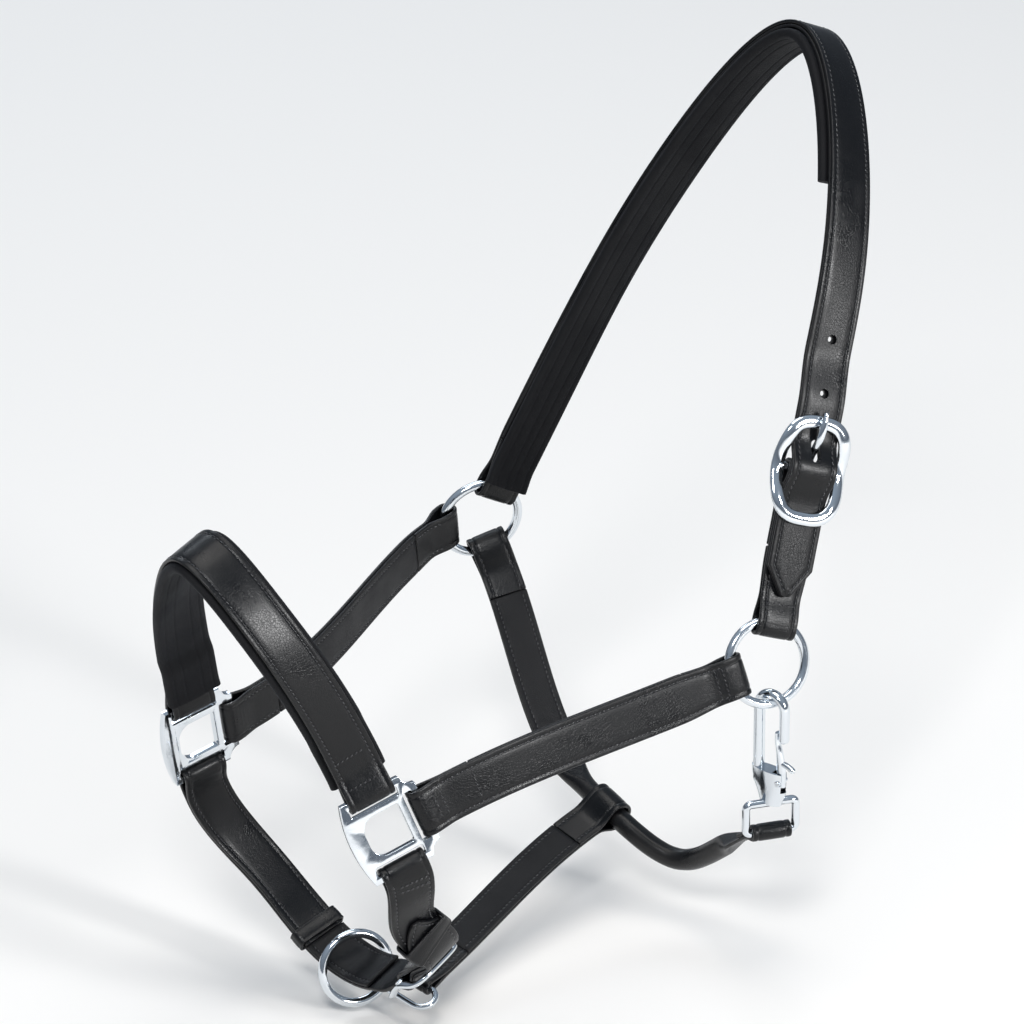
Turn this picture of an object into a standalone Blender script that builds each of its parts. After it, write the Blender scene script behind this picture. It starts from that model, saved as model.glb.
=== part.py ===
"""Leather headcollar: padded crown and noseband, cheekpieces, chin, jaw and throat straps.

Lengths are in millimetres up to add_mesh, which writes metres. X runs from the nose to the
poll, Y from the near (left) side to the off (right) side, Z up. Points of the layout are
measured from the middle between the two upper rings and moved at the end so that the
underside of the poll padding is the origin.
"""
from math import ceil, cos, pi, radians, sin, sqrt

import bmesh
import bpy
import numpy as np
from mathutils import Matrix, Vector

MM = 0.001
TITLE = "leather_headcollar"

# ---- overall layout ----
CHEEK_LENGTH = 227.0        # ring middle to square middle
CHEEK_DROP = 8.3            # degrees that the square lies below the ring
RING_HALF_WIDTH = 113.0     # upper ring middle to the middle plane
SQUARE_HALF_WIDTH = 72.0
CROWN_RISE = 311.0          # ring middle to the top of the crown line
CROWN_LEAN = 25.5           # degrees backward from upright
NOSE_RISE = 158.0           # square middle to the top of the nose line
NOSE_LEAN = 20.5            # degrees forward from upright
CHIN_DROP = 112.0           # square middle to the bottom of the chin line
THROAT_DROP = 129.0         # ring middle to the throatlatch at the jaw strap
THROAT_BACK = -9.0          # and its place along X

# Places that the lines pass, as shares of their rise and of their half width
CROWN_LOW = (0.443, 0.77)
CROWN_HIGH = (0.706, 0.558)
NOSE_SHOULDER = (0.828, 0.4375)
NEAR_BULGE = 6.0            # near side of the crown, further out than the far side
NEAR_TURN = 0.3             # and turned toward the front by this slope

# ---- leather ----
STRAP_WIDTH = 25.0
LOOP_WIDTH = 22.0           # straps narrow to this where they loop on a round ring
JAW_WIDTH = 20.0
PAD_WIDTH = 31.0
STRAP = 2.0                 # thickness of strap leather
LINING = 1.9
PAD = 5.0
EDGE = 0.45                 # bevel on cut edges
GAP = 0.3                   # between touching pieces
HALF_GAP = GAP / 2
SPREAD = 15.0               # length in which the two legs of a loop come together
LEAD = 4.0                  # straight stretch beyond a bar or ring
MOST_TURN = 7.0             # degrees between two cross-sections of a strap
MOST_TWIST = 7.0
MOST_STEP = 22.0            # and the distance between them
RETURN = 30.0               # length of the stitched-back end of a loop
SNAP_RETURN = 24.0          # the same at the snap
ROLL_DIAMETER = 12.5        # rolled part of the throatlatch
ROLL_BEFORE = 44.0          # where it starts, before the jaw strap
ROLL_AFTER = 38.0           # and where it ends, before the snap
ROLL_IN = 28.0              # lengths in which the flat strap turns into the roll and back
ROLL_OUT = 16.0
CROWN_PAD_START = 16.0      # from the far ring's loop
CROWN_PAD_END = 149.0       # from the buckle's centre bar
NOSE_PAD_START = 17.0       # from the square's loop
PAD_RISE = 10.0             # length in which the nose padding comes up to the strap
PAD_EDGE = 1.8
PAD_END_WIDTH = 25.0        # crown padding at the far ring
PAD_TAPER = 170.0           # length in which it widens
RAMP = 30.0                 # length in which the billet rises onto the chape
RAMP_END = 8.0              # from there to the buckle's top bar
CHIN_RAMP = 12.0
CHIN_RAMP_END = 2.0
HOLE_DIAMETER = 5.0
HOLE_PITCH = 28.0
HOLE_IN_USE = 12.0          # from the buckle's centre bar
TIP_LENGTH = 15.0
TIP_WIDTH = 5.0
KEEPER_THICKNESS = 1.6
KEEPER_CORNER = 1.2
NEAR_KEEPER_AT = 44.0       # from the chin buckle's centre bar
NEAR_KEEPER_LENGTH = 11.0
CHIN_KEEPER_AT = 6.0        # from the end of the chin strap's return
CHIN_KEEPER_LENGTH = 9.0
CHIN_RING_AT = 57.0         # from the chin buckle's centre bar
CHIN_RETURN_AT = 22.0       # chin ring to the end of the chin strap's return

# ---- metal ----
RING_RADIUS = 21.5
RING_WIRE = 2.5
CHIN_RING_WIRE = 2.5
CHIN_RING_CLEARANCE = 3.5   # beside the strap that it is threaded on
CHIN_RING_RADIUS = STRAP_WIDTH / 2 + CHIN_RING_CLEARANCE + CHIN_RING_WIRE
SQUARE_WINDOW = 11.0        # half of the window
SQUARE_BAR = 3.5
SQUARE_SLOT = 5.0
SQUARE_THICKNESS = 4.0
SQUARE_EDGE = 1.0
SQUARE_BAR_END = 3.0        # outer bar beyond its slot
SQUARE_BULGE = 3.5          # rise of the curved nose side
SQUARE_CORNER = 1.2
SLOT_CLEARANCE = 1.0        # slot end beyond the strap edge
LINK_WIRE = 1.75
LINK_HALF_WIDTH = 7.25
LINK_STRAIGHT = 22.0
SNAP_BAR = -75.0            # strap bar of the snap's eye, below the ring's wire
SNAP_EYE = 13.5
SNAP_WIRE = 2.2
SNAP_NOSE = -20.0
SNAP_PIVOT = (6.3, -44.0)
SNAP_HOOK_RADIUS = 8.0
SNAP_HOOK_TOP = 2.6         # half thickness of the hook where it lies on the ring
SNAP_PIN = 1.4
SNAP_PIN_LENGTH = 8.0

# ---- buckles ----
BUCKLE_CLEARANCE = 1.5      # between a strap's edge and the frame
TONGUE_CLEARANCE = 0.5      # beside the tongue in its slot
TONGUE_EYE = 0.95           # wire of the tongue's eye
TONGUE_BEYOND = 4.5         # tongue's tip beyond the middle of the frame's end bar
CHAPE_SLOT = (-8.0, 7.5)    # from the centre bar
CROWN_BUCKLE = {"half_width": STRAP_WIDTH / 2 + BUCKLE_CLEARANCE + 3.5, "half_length": 25.0,
                "bar_width": 3.5, "bar_height": 1.75, "centre_bar": 2.25, "set_back": 4.0,
                "from_ring": 101.0, "billet": STRAP + GAP + LINING, "tip": 66.0, "tongue": 2.1,
                "slot": (4.4, 16.0), "oval": 3.0,
                "shank": ((6.0, 0.2), (9.0, 1.6), (13.0, 4.6), (17.0, 7.2), (21.0, 8.4))}
CHIN_BUCKLE = {"half_width": STRAP_WIDTH / 2 + BUCKLE_CLEARANCE + 2.5, "half_length": 17.5,
               "bar_width": 2.5, "bar_height": 1.5, "centre_bar": 2.0, "set_back": 2.5,
               "billet": STRAP, "tip": 62.0, "tongue": 1.8, "slot": (4.0, 12.5), "oval": 4.0,
               "shank": ((5.0, 0.4), (8.0, 2.5), (12.0, 5.5), (15.0, 6.9))}


# ---------------------------------------------------------------- small maths

def unit(vector):
    vector = np.asarray(vector, float)
    return vector / np.linalg.norm(vector)


def ease(x):
    x = min(max(x, 0.0), 1.0)
    return x * x * (3.0 - 2.0 * x)


def mirrored(vector):
    return np.array([vector[0], -vector[1], vector[2]], float)


def clamped_spline(knots, start_slope, end_slope, samples=40):
    """Smooth curve through the knots and its slopes, with the slope given at both ends."""
    knots = np.array(knots, float)
    steps = np.linalg.norm(np.diff(knots[:, :3], axis=0), axis=1)
    count = len(knots)
    system = np.eye(count)
    right = np.zeros(knots.shape)
    right[0] = start_slope
    right[-1] = end_slope
    for i in range(1, count - 1):
        before, after = steps[i - 1], steps[i]
        system[i, i - 1:i + 2] = (after, 2 * (before + after), before)
        right[i] = 3 * (after / before * (knots[i] - knots[i - 1])
                        + before / after * (knots[i + 1] - knots[i]))
    slopes = np.linalg.solve(system, right)
    curve, along = [], []
    for i in range(count - 1):
        rise = knots[i + 1] - knots[i]
        for x in np.linspace(0, 1, samples + 1):
            curve.append(knots[i] + rise * x * x * (3 - 2 * x)
                         + steps[i] * (slopes[i] * x * (1 - x) ** 2 - slopes[i + 1] * x * x * (1 - x)))
            along.append(rise / steps[i] * 6 * x * (1 - x)
                         + slopes[i] * (1 - x) * (1 - 3 * x) + slopes[i + 1] * x * (3 * x - 2))
    return curve, along


# ---------------------------------------------------------------- where straps are held

class Hold:
    """A fitting that a strap is looped on: middle, way out, width direction, loop size."""

    def __init__(self, origin, out, across, reach, flat, radius):
        self.origin = np.asarray(origin, float)
        self.out = unit(out)
        self.across = unit(across)
        self.reach = reach
        self.flat = flat
        self.radius = radius


def across_for(along, outward):
    """Width direction of a strap, so that cross(along, across) faces outward."""
    return unit(np.cross(outward, along))


def ring_hold(ring, out, strap_end, width):
    """Loop on a round ring. strap_end is +1 where the strap starts and -1 where it ends."""
    centre, axis, radius, wire = ring
    out = unit(out)
    across = across_for(out * strap_end, axis)
    normal = np.cross(out * strap_end, across)
    radial = unit(out - axis * np.dot(out, axis))
    inner = sqrt((radius - wire) ** 2 - (width / 2) ** 2) + wire
    tilt = np.dot(radial, normal)
    lean = np.dot(radial, out)
    return Hold(centre + normal * (radius + inner) / 2 * tilt, out, across, inner * lean,
                radius * lean, wire + 1.4 * GAP + (radius - inner) / 2 * abs(tilt))


class Fold:
    """A loop in the distances of a run. toward is the direction in which the strap leaves."""

    def __init__(self, at, flat, radius, toward, spread=SPREAD):
        self.spread = spread
        self.at = at
        self.flat = flat
        self.radius = radius
        self.toward = toward

    def opening(self, s):
        return (self.radius - HALF_GAP) * (1 - ease((s - self.flat) * self.toward / self.spread))


class Run:
    """The middle line of a strap from one hold to the other.

    Each place between has a point, a direction across and, where the strap is to run straight
    from there or up to there, its direction along.
    """

    def __init__(self, start, end, between):
        still = np.zeros(3)
        knots = [np.r_[start.origin, start.across]]
        slope = np.r_[start.out, still]
        curve, along = [], []
        places = [(start.origin + start.out * (start.flat + LEAD), start.across, start.out), *between,
                  (end.origin + end.out * (end.flat + LEAD), end.across, -end.out),
                  (end.origin, end.across, -end.out)]
        for point, across, direction in places:
            knots.append(np.r_[point, unit(across)])
            if direction is not None:
                next_slope = np.r_[unit(direction), still]
                more_curve, more_along = clamped_spline(knots, slope, next_slope)
                curve += more_curve
                along += more_along
                knots = [knots[-1]]
                slope = next_slope
        curve = np.array(curve)
        self.points = curve[:, :3]
        lengths = np.linalg.norm(np.diff(self.points, axis=0), axis=1)
        self.distance = np.r_[0, np.cumsum(lengths + 1e-9)]
        self.length = self.distance[-1]
        self.along = np.array([unit(way) for way in np.array(along)[:, :3]])
        self.across = np.array([unit(side - way * np.dot(side, way))
                                for side, way in zip(curve[:, 3:], self.along)])
        self.start = Fold(start.reach, start.flat, start.radius, 1)
        self.end = Fold(self.length - end.reach, self.length - end.flat, end.radius, -1)
        self.grid = self.even_grid()
        for fold in (self.start, self.end):
            self.refine(fold.flat, fold.flat + fold.toward * SPREAD, 4)
            self.mark(fold.at, fold.at + fold.toward * RETURN)

    def even_grid(self):
        """Distances between which the strap turns by only a few degrees, shared by all its layers."""
        grid = [0.0]
        last = 0
        for i in range(1, len(self.distance)):
            turned = (np.dot(self.along[i], self.along[last]) < cos(radians(MOST_TURN))
                      or np.dot(self.across[i], self.across[last]) < cos(radians(MOST_TWIST)))
            if turned or self.distance[i] - grid[-1] > MOST_STEP:
                grid.append(self.distance[i])
                last = i
        return grid

    def refine(self, a, b, count):
        """Adds evenly spaced distances from a to b in place of those that were there."""
        a, b = min(a, b), max(a, b)
        kept = [s for s in self.grid if s < a - 1 or s > b + 1]
        self.grid = sorted(kept + list(np.linspace(a, b, count + 1)))

    def mark(self, *distances):
        """Adds distances at which a layer ends."""
        kept = [s for s in self.grid if all(abs(s - mark) > 0.8 for mark in distances)]
        self.grid = sorted(kept + list(distances))

    def nearest(self, point):
        return self.distance[np.argmin(np.linalg.norm(self.points - point, axis=1))]

    def frame(self, s):
        point, along, across = (np.array([np.interp(s, self.distance, table[:, k]) for k in range(3)])
                                for table in (self.points, self.along, self.across))
        along = unit(along)
        across = unit(across - along * np.dot(across, along))
        return point, along, across, np.cross(along, across)

    def place(self, s, v, n):
        """Point at distance s along the run, v across it and n outward."""
        point, along, across, outward = self.frame(min(max(s, 0.0), self.length))
        beyond = s - min(max(s, 0.0), self.length)
        return point + along * beyond + across * v + outward * n


# ---------------------------------------------------------------- objects

def collection(name):
    made = bpy.data.collections.new(name)
    bpy.context.scene.collection.children.link(made)
    return made


def material(name, colour, metallic, roughness):
    made = bpy.data.materials.new(name)
    made.use_nodes = True
    shader = made.node_tree.nodes["Principled BSDF"]
    shader.inputs["Base Color"].default_value = (*colour, 1)
    shader.inputs["Metallic"].default_value = metallic
    shader.inputs["Roughness"].default_value = roughness
    return made


LOOKS = {"leather": ((0.012, 0.012, 0.014), 0.0, 0.38), "lining": ((0.014, 0.014, 0.016), 0.0, 0.6),
         "suede": ((0.02, 0.02, 0.023), 0.0, 0.85), "chrome": ((0.82, 0.84, 0.87), 1.0, 0.12)}


def add_mesh(name, bm, look, origin=(0, 0, 0)):
    """Writes a bmesh as an object, in metres and measured from the poll."""
    bmesh.ops.recalc_face_normals(bm, faces=bm.faces)
    shift = Vector(origin) - Vector(POLL)
    bmesh.ops.translate(bm, verts=bm.verts, vec=-Vector(origin))
    bmesh.ops.scale(bm, verts=bm.verts, vec=(MM, MM, MM))
    mesh = bpy.data.meshes.new(name)
    bm.to_mesh(mesh)
    bm.free()
    obj = bpy.data.objects.new(name, mesh)
    obj.location = shift * MM
    (CUTTERS if look is None else PARTS).objects.link(obj)
    if look is None:
        obj.hide_render = True
        obj.display_type = "WIRE"
    else:
        mesh.materials.append(material(name, *LOOKS[look]))
    return obj


def combine(obj, other, operation):
    """Exact Boolean of two objects."""
    modifier = obj.modifiers.new(operation.lower() + "_" + other.name, "BOOLEAN")
    modifier.operation = operation
    modifier.solver = "EXACT"
    modifier.object = other


def loft(rings, closed=False, ranks=None):
    """Skin over a list of equal point rings, capped unless it closes on itself.

    Where the points are ranked, each face is split from its lowest point, so that layers
    on one another are split alike.
    """
    bm = bmesh.new()
    verts = [[bm.verts.new(point) for point in ring] for ring in rings]
    count = len(verts)
    for k in range(count if closed else count - 1):
        one, two = verts[k], verts[(k + 1) % count]
        for i in range(len(one)):
            j = (i + 1) % len(one)
            face = [one[i], one[j], two[j], two[i]]
            if ranks:
                rank = [ranks[k][i], ranks[k][j], ranks[k + 1][j], ranks[k + 1][i]]
                low = rank.index(min(rank))
                a, b, c, d = face[low:] + face[:low]
                bm.faces.new((a, b, c))
                bm.faces.new((a, c, d))
            else:
                bm.faces.new(face)
    if not closed:
        bm.faces.new(verts[0])
        bm.faces.new(verts[-1])
    return bm


def tube(path, side, rise, up, closed=False, sides=10):
    """Oval bar along a path: side and rise are its half sizes across and along up."""
    path = [np.asarray(point, float) for point in path]
    count = len(path)
    rings = []
    for i, point in enumerate(path):
        before = path[i - 1] if i or closed else point
        after = path[(i + 1) % count] if i < count - 1 or closed else point
        along = unit(after - before)
        across = unit(np.cross(along, up))
        lift = np.cross(across, along)
        size = side(i / (count - 1)) if callable(side) else side
        ring = []
        for k in range(sides):
            angle = 2 * pi * (k + 0.5) / sides
            ring.append(point + across * size * cos(angle) + lift * rise * sin(angle))
        rings.append(ring)
    return loft(rings, closed)


def cylinder(start, end, radius, sides=16):
    axis = Vector(end) - Vector(start)
    bm = bmesh.new()
    bmesh.ops.create_cone(bm, cap_ends=True, segments=sides, radius1=radius, radius2=radius,
                          depth=axis.length)
    turn = Vector((0, 0, 1)).rotation_difference(axis).to_matrix().to_4x4()
    middle = (Vector(start) + Vector(end)) / 2
    bmesh.ops.transform(bm, matrix=Matrix.Translation(middle) @ turn, verts=bm.verts)
    return bm


def round_ring(name, ring, segments=28, sides=8):
    centre, axis, radius, wire = ring
    side = unit(np.cross(axis, (0.3, 0.1, 1)))
    rise = np.cross(axis, side)
    path = []
    for k in range(segments):
        angle = 2 * pi * k / segments
        path.append(centre + radius * (side * cos(angle) + rise * sin(angle)))
    return add_mesh(name, tube(path, wire, wire, axis, True, sides), "chrome", centre)


# ---------------------------------------------------------------- straps

def stations(run, a, b):
    """The run's shared distances that lie from a to b, with both ends."""
    return [a] + [s for s in run.grid if a + 0.8 < s < b - 0.8] + [b]


def as_function(value):
    return value if callable(value) else (lambda s: value)


def strip(name, run, span, look, thickness=STRAP, width=STRAP_WIDTH, low=HALF_GAP, edge=EDGE,
          folds=(None, None), returns=(RETURN, RETURN), middle=0.0):
    """A layer of leather over span, looped back at either end where a fold is given.

    low is the height of its underside over the middle, which the folds add to.
    """
    thickness, width, low, edge, middle = map(as_function, (thickness, width, low, edge, middle))
    first, last = folds

    def level(s, side):
        lift = low(s) + sum(fold.opening(s) for fold in folds if fold)
        under = middle(s) + side * lift
        return (s, under, s, under + side * thickness(s))

    def turn(fold):
        rows = []
        outer = fold.radius + thickness(fold.at)
        for angle in np.linspace(-pi / 2, pi / 2, 8)[1:-1] * fold.toward:
            rows.append((fold.at - fold.toward * fold.radius * cos(angle),
                         middle(fold.at) + fold.radius * sin(angle),
                         fold.at - fold.toward * outer * cos(angle),
                         middle(fold.at) + outer * sin(angle)))
        return rows

    rows = []
    if first:
        back = stations(run, span[0], span[0] + returns[0])
        rows += [level(s, -1) for s in reversed(back)] + turn(first)
    rows += [level(s, 1) for s in stations(run, span[0], span[1])]
    if last:
        back = stations(run, span[1] - returns[1], span[1])
        rows += turn(last) + [level(s, -1) for s in reversed(back)]

    rings, ranks = [], []
    for s_in, n_in, s_out, n_out in rows:
        half = width(s_in) / 2
        bevel = edge(s_in)
        part = bevel / thickness(s_in)
        ring, rank = [], []
        for v, depth in ((-half + bevel, 0), (half - bevel, 0), (half, part), (half, 1 - part),
                         (half - bevel, 1), (-half + bevel, 1), (-half, 1 - part), (-half, part)):
            s = s_in + (s_out - s_in) * depth
            ring.append(run.place(s, v, n_in + (n_out - n_in) * depth))
            rank.append(s + v)
        rings.append(ring)
        ranks.append(rank)
    return add_mesh(name, loft(rings, ranks=ranks), look)


def narrowed(folds, wide=STRAP_WIDTH, slim=LOOP_WIDTH, length=28.0):
    """Width that drops from wide to slim at the given folds."""
    def width(s):
        nearest = min(abs(s - fold.flat) if (s - fold.flat) * fold.toward > 0 else 0 for fold in folds)
        return slim + (wide - slim) * ease((nearest - 6) / length)
    return width


def keeper(name, run, at, length, half, low, high):
    """Leather band round a stack of straps, half wide and from low to high."""
    slack = 2 * GAP
    bottom, top = low - slack, high + slack
    half = half + slack
    corner = KEEPER_CORNER
    path = []
    for v, n, start in ((half, top, 0), (-half, top, 90), (-half, bottom, 180), (half, bottom, 270)):
        v_mid = v - corner * (1 if v > 0 else -1)
        n_mid = n - corner * (1 if n == top else -1)
        for angle in (start, start + 45, start + 90):
            path.append((v_mid, n_mid, cos(radians(angle)), sin(radians(angle))))
    rings = []
    for v, n, v_way, n_way in path:
        ring = []
        outer = corner + KEEPER_THICKNESS
        for reach, end in ((corner, -1), (corner, 0), (corner, 1), (outer, 1), (outer, 0), (outer, -1)):
            ring.append(run.place(at + end * length / 2, v + v_way * reach, n + n_way * reach))
        rings.append(ring)
    return add_mesh(name, loft(rings, closed=True), "leather", run.place(at, 0, (low + high) / 2))


# ---------------------------------------------------------------- metal fittings

def bar_hold(centre, out, bar_way, outward, strap_end, distance, bar):
    """Loop on a straight bar that lies at a distance from the fitting's middle."""
    bar_way = unit(bar_way)
    out = unit(out - bar_way * np.dot(out, bar_way))
    if np.dot(np.cross(out * strap_end, bar_way), outward) < 0:
        bar_way = -bar_way
    return Hold(centre, out, bar_way, distance, distance, bar + GAP)


def arc(x, y, radius, start, end, steps):
    angles = np.radians(np.linspace(start, end, steps + 1))
    return [(x + radius * cos(a), y + radius * sin(a)) for a in angles]


def rounded_box(left, right, bottom, top, corners, steps=4):
    """Outline with corner radii in the order right top, left top, left bottom, right bottom."""
    outline = []
    for k, (x, y) in enumerate(((right, top), (left, top), (left, bottom), (right, bottom))):
        r = corners[k]
        outline += arc(x - r * (1 if x == right else -1), y - r * (1 if y == top else -1), r,
                       90 * k, 90 * k + 90, steps)
    return outline


def prism(frame, outline, low, high):
    """Straight-sided solid on an outline in the x-y plane of a frame."""
    origin, x, y, z = frame
    return loft([[origin + x * u + y * v + z * n for u, v in outline] for n in (low, high)])


SQUARE_REACH = SQUARE_WINDOW + SQUARE_BAR + SQUARE_SLOT + SQUARE_BAR / 2
SQUARE_WRAP = sqrt(SQUARE_BAR ** 2 + SQUARE_THICKNESS ** 2) / 2


def halter_square(name, frame, slot_half):
    """Flat casting: window, three outer bars behind slots, hollow corners, curved nose side."""
    inner = SQUARE_WINDOW + SQUARE_BAR
    slot_top = inner + SQUARE_SLOT
    outer = slot_top + SQUARE_BAR
    bar_end = slot_half + SQUARE_BAR_END
    hollow = outer - bar_end + 0.5
    corner = outer + 0.5
    turn = np.degrees(np.arcsin(0.5 / hollow))
    bulge = SQUARE_BULGE
    bow = (outer ** 2 + bulge ** 2) / (2 * bulge)
    spread = np.degrees(np.arcsin(outer / bow))
    outline = arc(corner, corner, hollow, 270 - turn, 180 + turn, 4)
    outline += arc(bow - bulge - bar_end, 0, bow, 180 - spread, 180 + spread, 6)
    outline += arc(corner, -corner, hollow, 180 - turn, 90 + turn, 4)
    body = add_mesh(name, prism(frame, outline, -SQUARE_THICKNESS / 2, SQUARE_THICKNESS / 2), "chrome")
    window = SQUARE_WINDOW
    tight = (SQUARE_CORNER,) * 4
    openings = {"window": rounded_box(-window, window, -window, window, (1.5, 5, 5, 1.5), 3),
                "top": rounded_box(-slot_half, slot_half, inner, slot_top, tight, 1),
                "bottom": rounded_box(-slot_half, slot_half, -slot_top, -inner, tight, 1),
                "rear": rounded_box(inner, slot_top, -slot_half, slot_half, tight, 1)}
    for part, shape in openings.items():
        cutter = add_mesh(name + "_" + part + "_cut", prism(frame, shape, -5, 5), None)
        combine(body, cutter, "DIFFERENCE")
    bevel = body.modifiers.new("rounded", "BEVEL")
    bevel.width = SQUARE_EDGE * MM
    bevel.segments = 1
    bevel.limit_method = "ANGLE"
    bevel.angle_limit = radians(40)


def buckle_fold(buckle, centre):
    """The chape's loop on the buckle's centre bar."""
    return Fold(centre, centre + 1.0, buckle["centre_bar"] + GAP, 1, 0.55 * buckle["half_length"])


def chape_height(buckle, x):
    """Height of the chape's outer face over the run's middle, at x from the centre bar."""
    return chape_middle(buckle, x) + HALF_GAP + STRAP + buckle_fold(buckle, 0).opening(abs(x))


def chape_middle(buckle, x):
    return buckle["set_back"] * (1 - ease((abs(x) - 2.0) / (0.6 * buckle["half_length"])))


def frame_height(buckle):
    """Height of the frame's end bars, clear of the billet below them."""
    return HALF_GAP + STRAP + GAP + buckle["billet"] + GAP + buckle["bar_height"]


def buckle_metal(name, run, at, buckle):
    """Oval frame with its ends raised over the straps, centre bar, and tongue."""
    point, along, across, outward = run.frame(at)
    end_height = frame_height(buckle)
    path = []
    for k in range(28):
        angle = 2 * pi * k / 28
        x, y = (np.sign(f) * abs(f) ** (2 / buckle["oval"]) for f in (cos(angle), sin(angle)))
        height = buckle["set_back"] + (end_height - buckle["set_back"]) * ease(abs(y) / 0.8)
        path.append(point + across * buckle["half_width"] * x + along * buckle["half_length"] * y
                    + outward * height)
    frame = add_mesh(name + "_frame",
                     tube(path, buckle["bar_width"], buckle["bar_height"], outward, True, 8), "chrome")
    middle = point + outward * buckle["set_back"]
    side = across * buckle["half_width"]
    bar = add_mesh(name + "_bar_joined", cylinder(middle - side, middle + side, buckle["centre_bar"], 12),
                   None)
    combine(frame, bar, "UNION")

    eye_radius = buckle["centre_bar"] + GAP + TONGUE_EYE
    eye = [middle + eye_radius * (along * cos(a) + outward * sin(a))
           for a in np.linspace(0, 2 * pi, 14, endpoint=False)]
    thick = buckle["tongue"]
    tongue = add_mesh(name + "_tongue", tube(eye, TONGUE_EYE, thick, across, True, 8), "chrome", middle)
    rest = end_height + buckle["bar_height"] + GAP + thick - buckle["set_back"]
    end = buckle["half_length"]
    shank = [(eye_radius - 0.3, 0), *buckle["shank"], (end, rest), (end + TONGUE_BEYOND, rest - 0.2)]
    line = [middle - along * s + outward * n for s, n in shank]
    shape = add_mesh(name + "_shank_joined",
                     tube(line, lambda x: thick * (1 - 0.35 * ease((x - 0.8) / 0.2)), thick * 0.9,
                          outward, sides=8), None)
    combine(tongue, shape, "UNION")


def trigger_snap(contact, hook_way, eye_way):
    """Snap hook: hook over the ring, shank, strap eye, sprung gate on a pin."""
    up = np.array([0.0, 0.0, 1.0])
    deep = np.cross(up, hook_way)

    def spot(x, z, y=0.0):
        return contact + hook_way * x + up * z + deep * y

    hook_radius = SNAP_HOOK_RADIUS
    crest = RING_WIRE + GAP + SNAP_HOOK_TOP - hook_radius
    hook = [spot(-hook_radius, -46), spot(-hook_radius, -25)]
    hook += [spot(x, z) for x, z in arc(0, crest, hook_radius, 180, 0, 10)]
    hook += [spot(hook_radius, -12), spot(hook_radius, SNAP_NOSE)]
    body = add_mesh("snap_body", tube(hook, lambda x: 3.1 - 0.6 * ease(x / 0.6), 3.0, deep, sides=10),
                    "chrome")
    pieces = {"block": tube([spot(-1, -40), spot(-0.5, -42), spot(0, -50), spot(0, -58)],
                            lambda x: 11.0 - 4.5 * ease((x - 0.3) / 0.7), 4.2, deep, sides=14)}
    eye_frame = (contact, eye_way, up, np.cross(eye_way, up))
    rim = rounded_box(-SNAP_EYE, SNAP_EYE, SNAP_BAR, SNAP_BAR + 17, (2.5, 2.5, 2.5, 2.5), 2)
    rim = [eye_frame[0] + eye_frame[1] * u + eye_frame[2] * v for u, v in rim]
    pieces["eye"] = tube(rim, SNAP_WIRE, SNAP_WIRE, eye_frame[3], True, 10)
    for part, shape in pieces.items():
        combine(body, add_mesh("snap_" + part + "_joined", shape, None), "UNION")
    slot = rounded_box(2.2, 14, -49.5, -36, (1, 1, 1, 1), 2)
    pin_line = spot(*SNAP_PIVOT, -SNAP_PIN_LENGTH), spot(*SNAP_PIVOT, SNAP_PIN_LENGTH)
    cutters = {"gate_slot": prism((contact, hook_way, up, np.cross(hook_way, up)), slot, -2.4, 2.4),
               "pin_hole": cylinder(*pin_line, SNAP_PIN + GAP)}
    for part, shape in cutters.items():
        combine(body, add_mesh("snap_" + part + "_cut", shape, None), "DIFFERENCE")

    pivot = spot(*SNAP_PIVOT)
    line = [spot(SNAP_PIVOT[0], SNAP_PIVOT[1] - 2.4), spot(SNAP_PIVOT[0], -36), spot(5.2, -27),
            spot(3.9, -21), spot(3.8, -15.5)]
    gate = add_mesh("snap_gate", tube(line, lambda x: 2.7 - 1.6 * ease((x - 0.3) / 0.5), 2.0, deep,
                                      sides=10), "chrome", pivot)
    lug = add_mesh("snap_lug_joined", tube([spot(6, -33), spot(10, -33.5), spot(13.5, -35)],
                                           1.5, 1.7, deep, sides=8), None)
    combine(gate, lug, "UNION")
    hole = add_mesh("snap_gate_hole_cut", cylinder(*pin_line, SNAP_PIN + GAP), None)
    combine(gate, hole, "DIFFERENCE")
    half = SNAP_PIN_LENGTH / 2
    pin = cylinder(spot(*SNAP_PIVOT, -half), spot(*SNAP_PIVOT, half), SNAP_PIN)
    add_mesh("snap_gate_pin", pin, "chrome")


# ---------------------------------------------------------------- layout

OUT_NEAR = np.array([0.0, -1.0, 0.0])
UP_CROWN = np.array([sin(radians(CROWN_LEAN)), 0, cos(radians(CROWN_LEAN))])
UP_NOSE = np.array([-sin(radians(NOSE_LEAN)), 0, cos(radians(NOSE_LEAN))])
CROWN_TOP = UP_CROWN * CROWN_RISE
POLL = CROWN_TOP - UP_CROWN * (HALF_GAP + LINING + GAP + PAD)

NEAR_RING = (np.array([0, -RING_HALF_WIDTH, 0.0]), unit((-0.28, -0.90, 0.32)), RING_RADIUS, RING_WIRE)
FAR_RING = (np.array([0, RING_HALF_WIDTH, 0.0]), unit((0.37, 0.92, 0.13)), RING_RADIUS, RING_WIRE)

FLARE = RING_HALF_WIDTH - SQUARE_HALF_WIDTH
DROP = CHEEK_LENGTH * sin(radians(CHEEK_DROP))
SQUARES = np.array([-sqrt(CHEEK_LENGTH ** 2 - FLARE ** 2 - DROP ** 2), 0, -DROP])


def square_frame(middle, rear, up, side):
    """Middle of a halter square, its rearward and upward directions, and its outer face."""
    rear = unit(rear)
    up = unit(np.cross(np.cross(rear, up), rear))
    return middle, rear, up, np.cross(rear, up) * side


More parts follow.
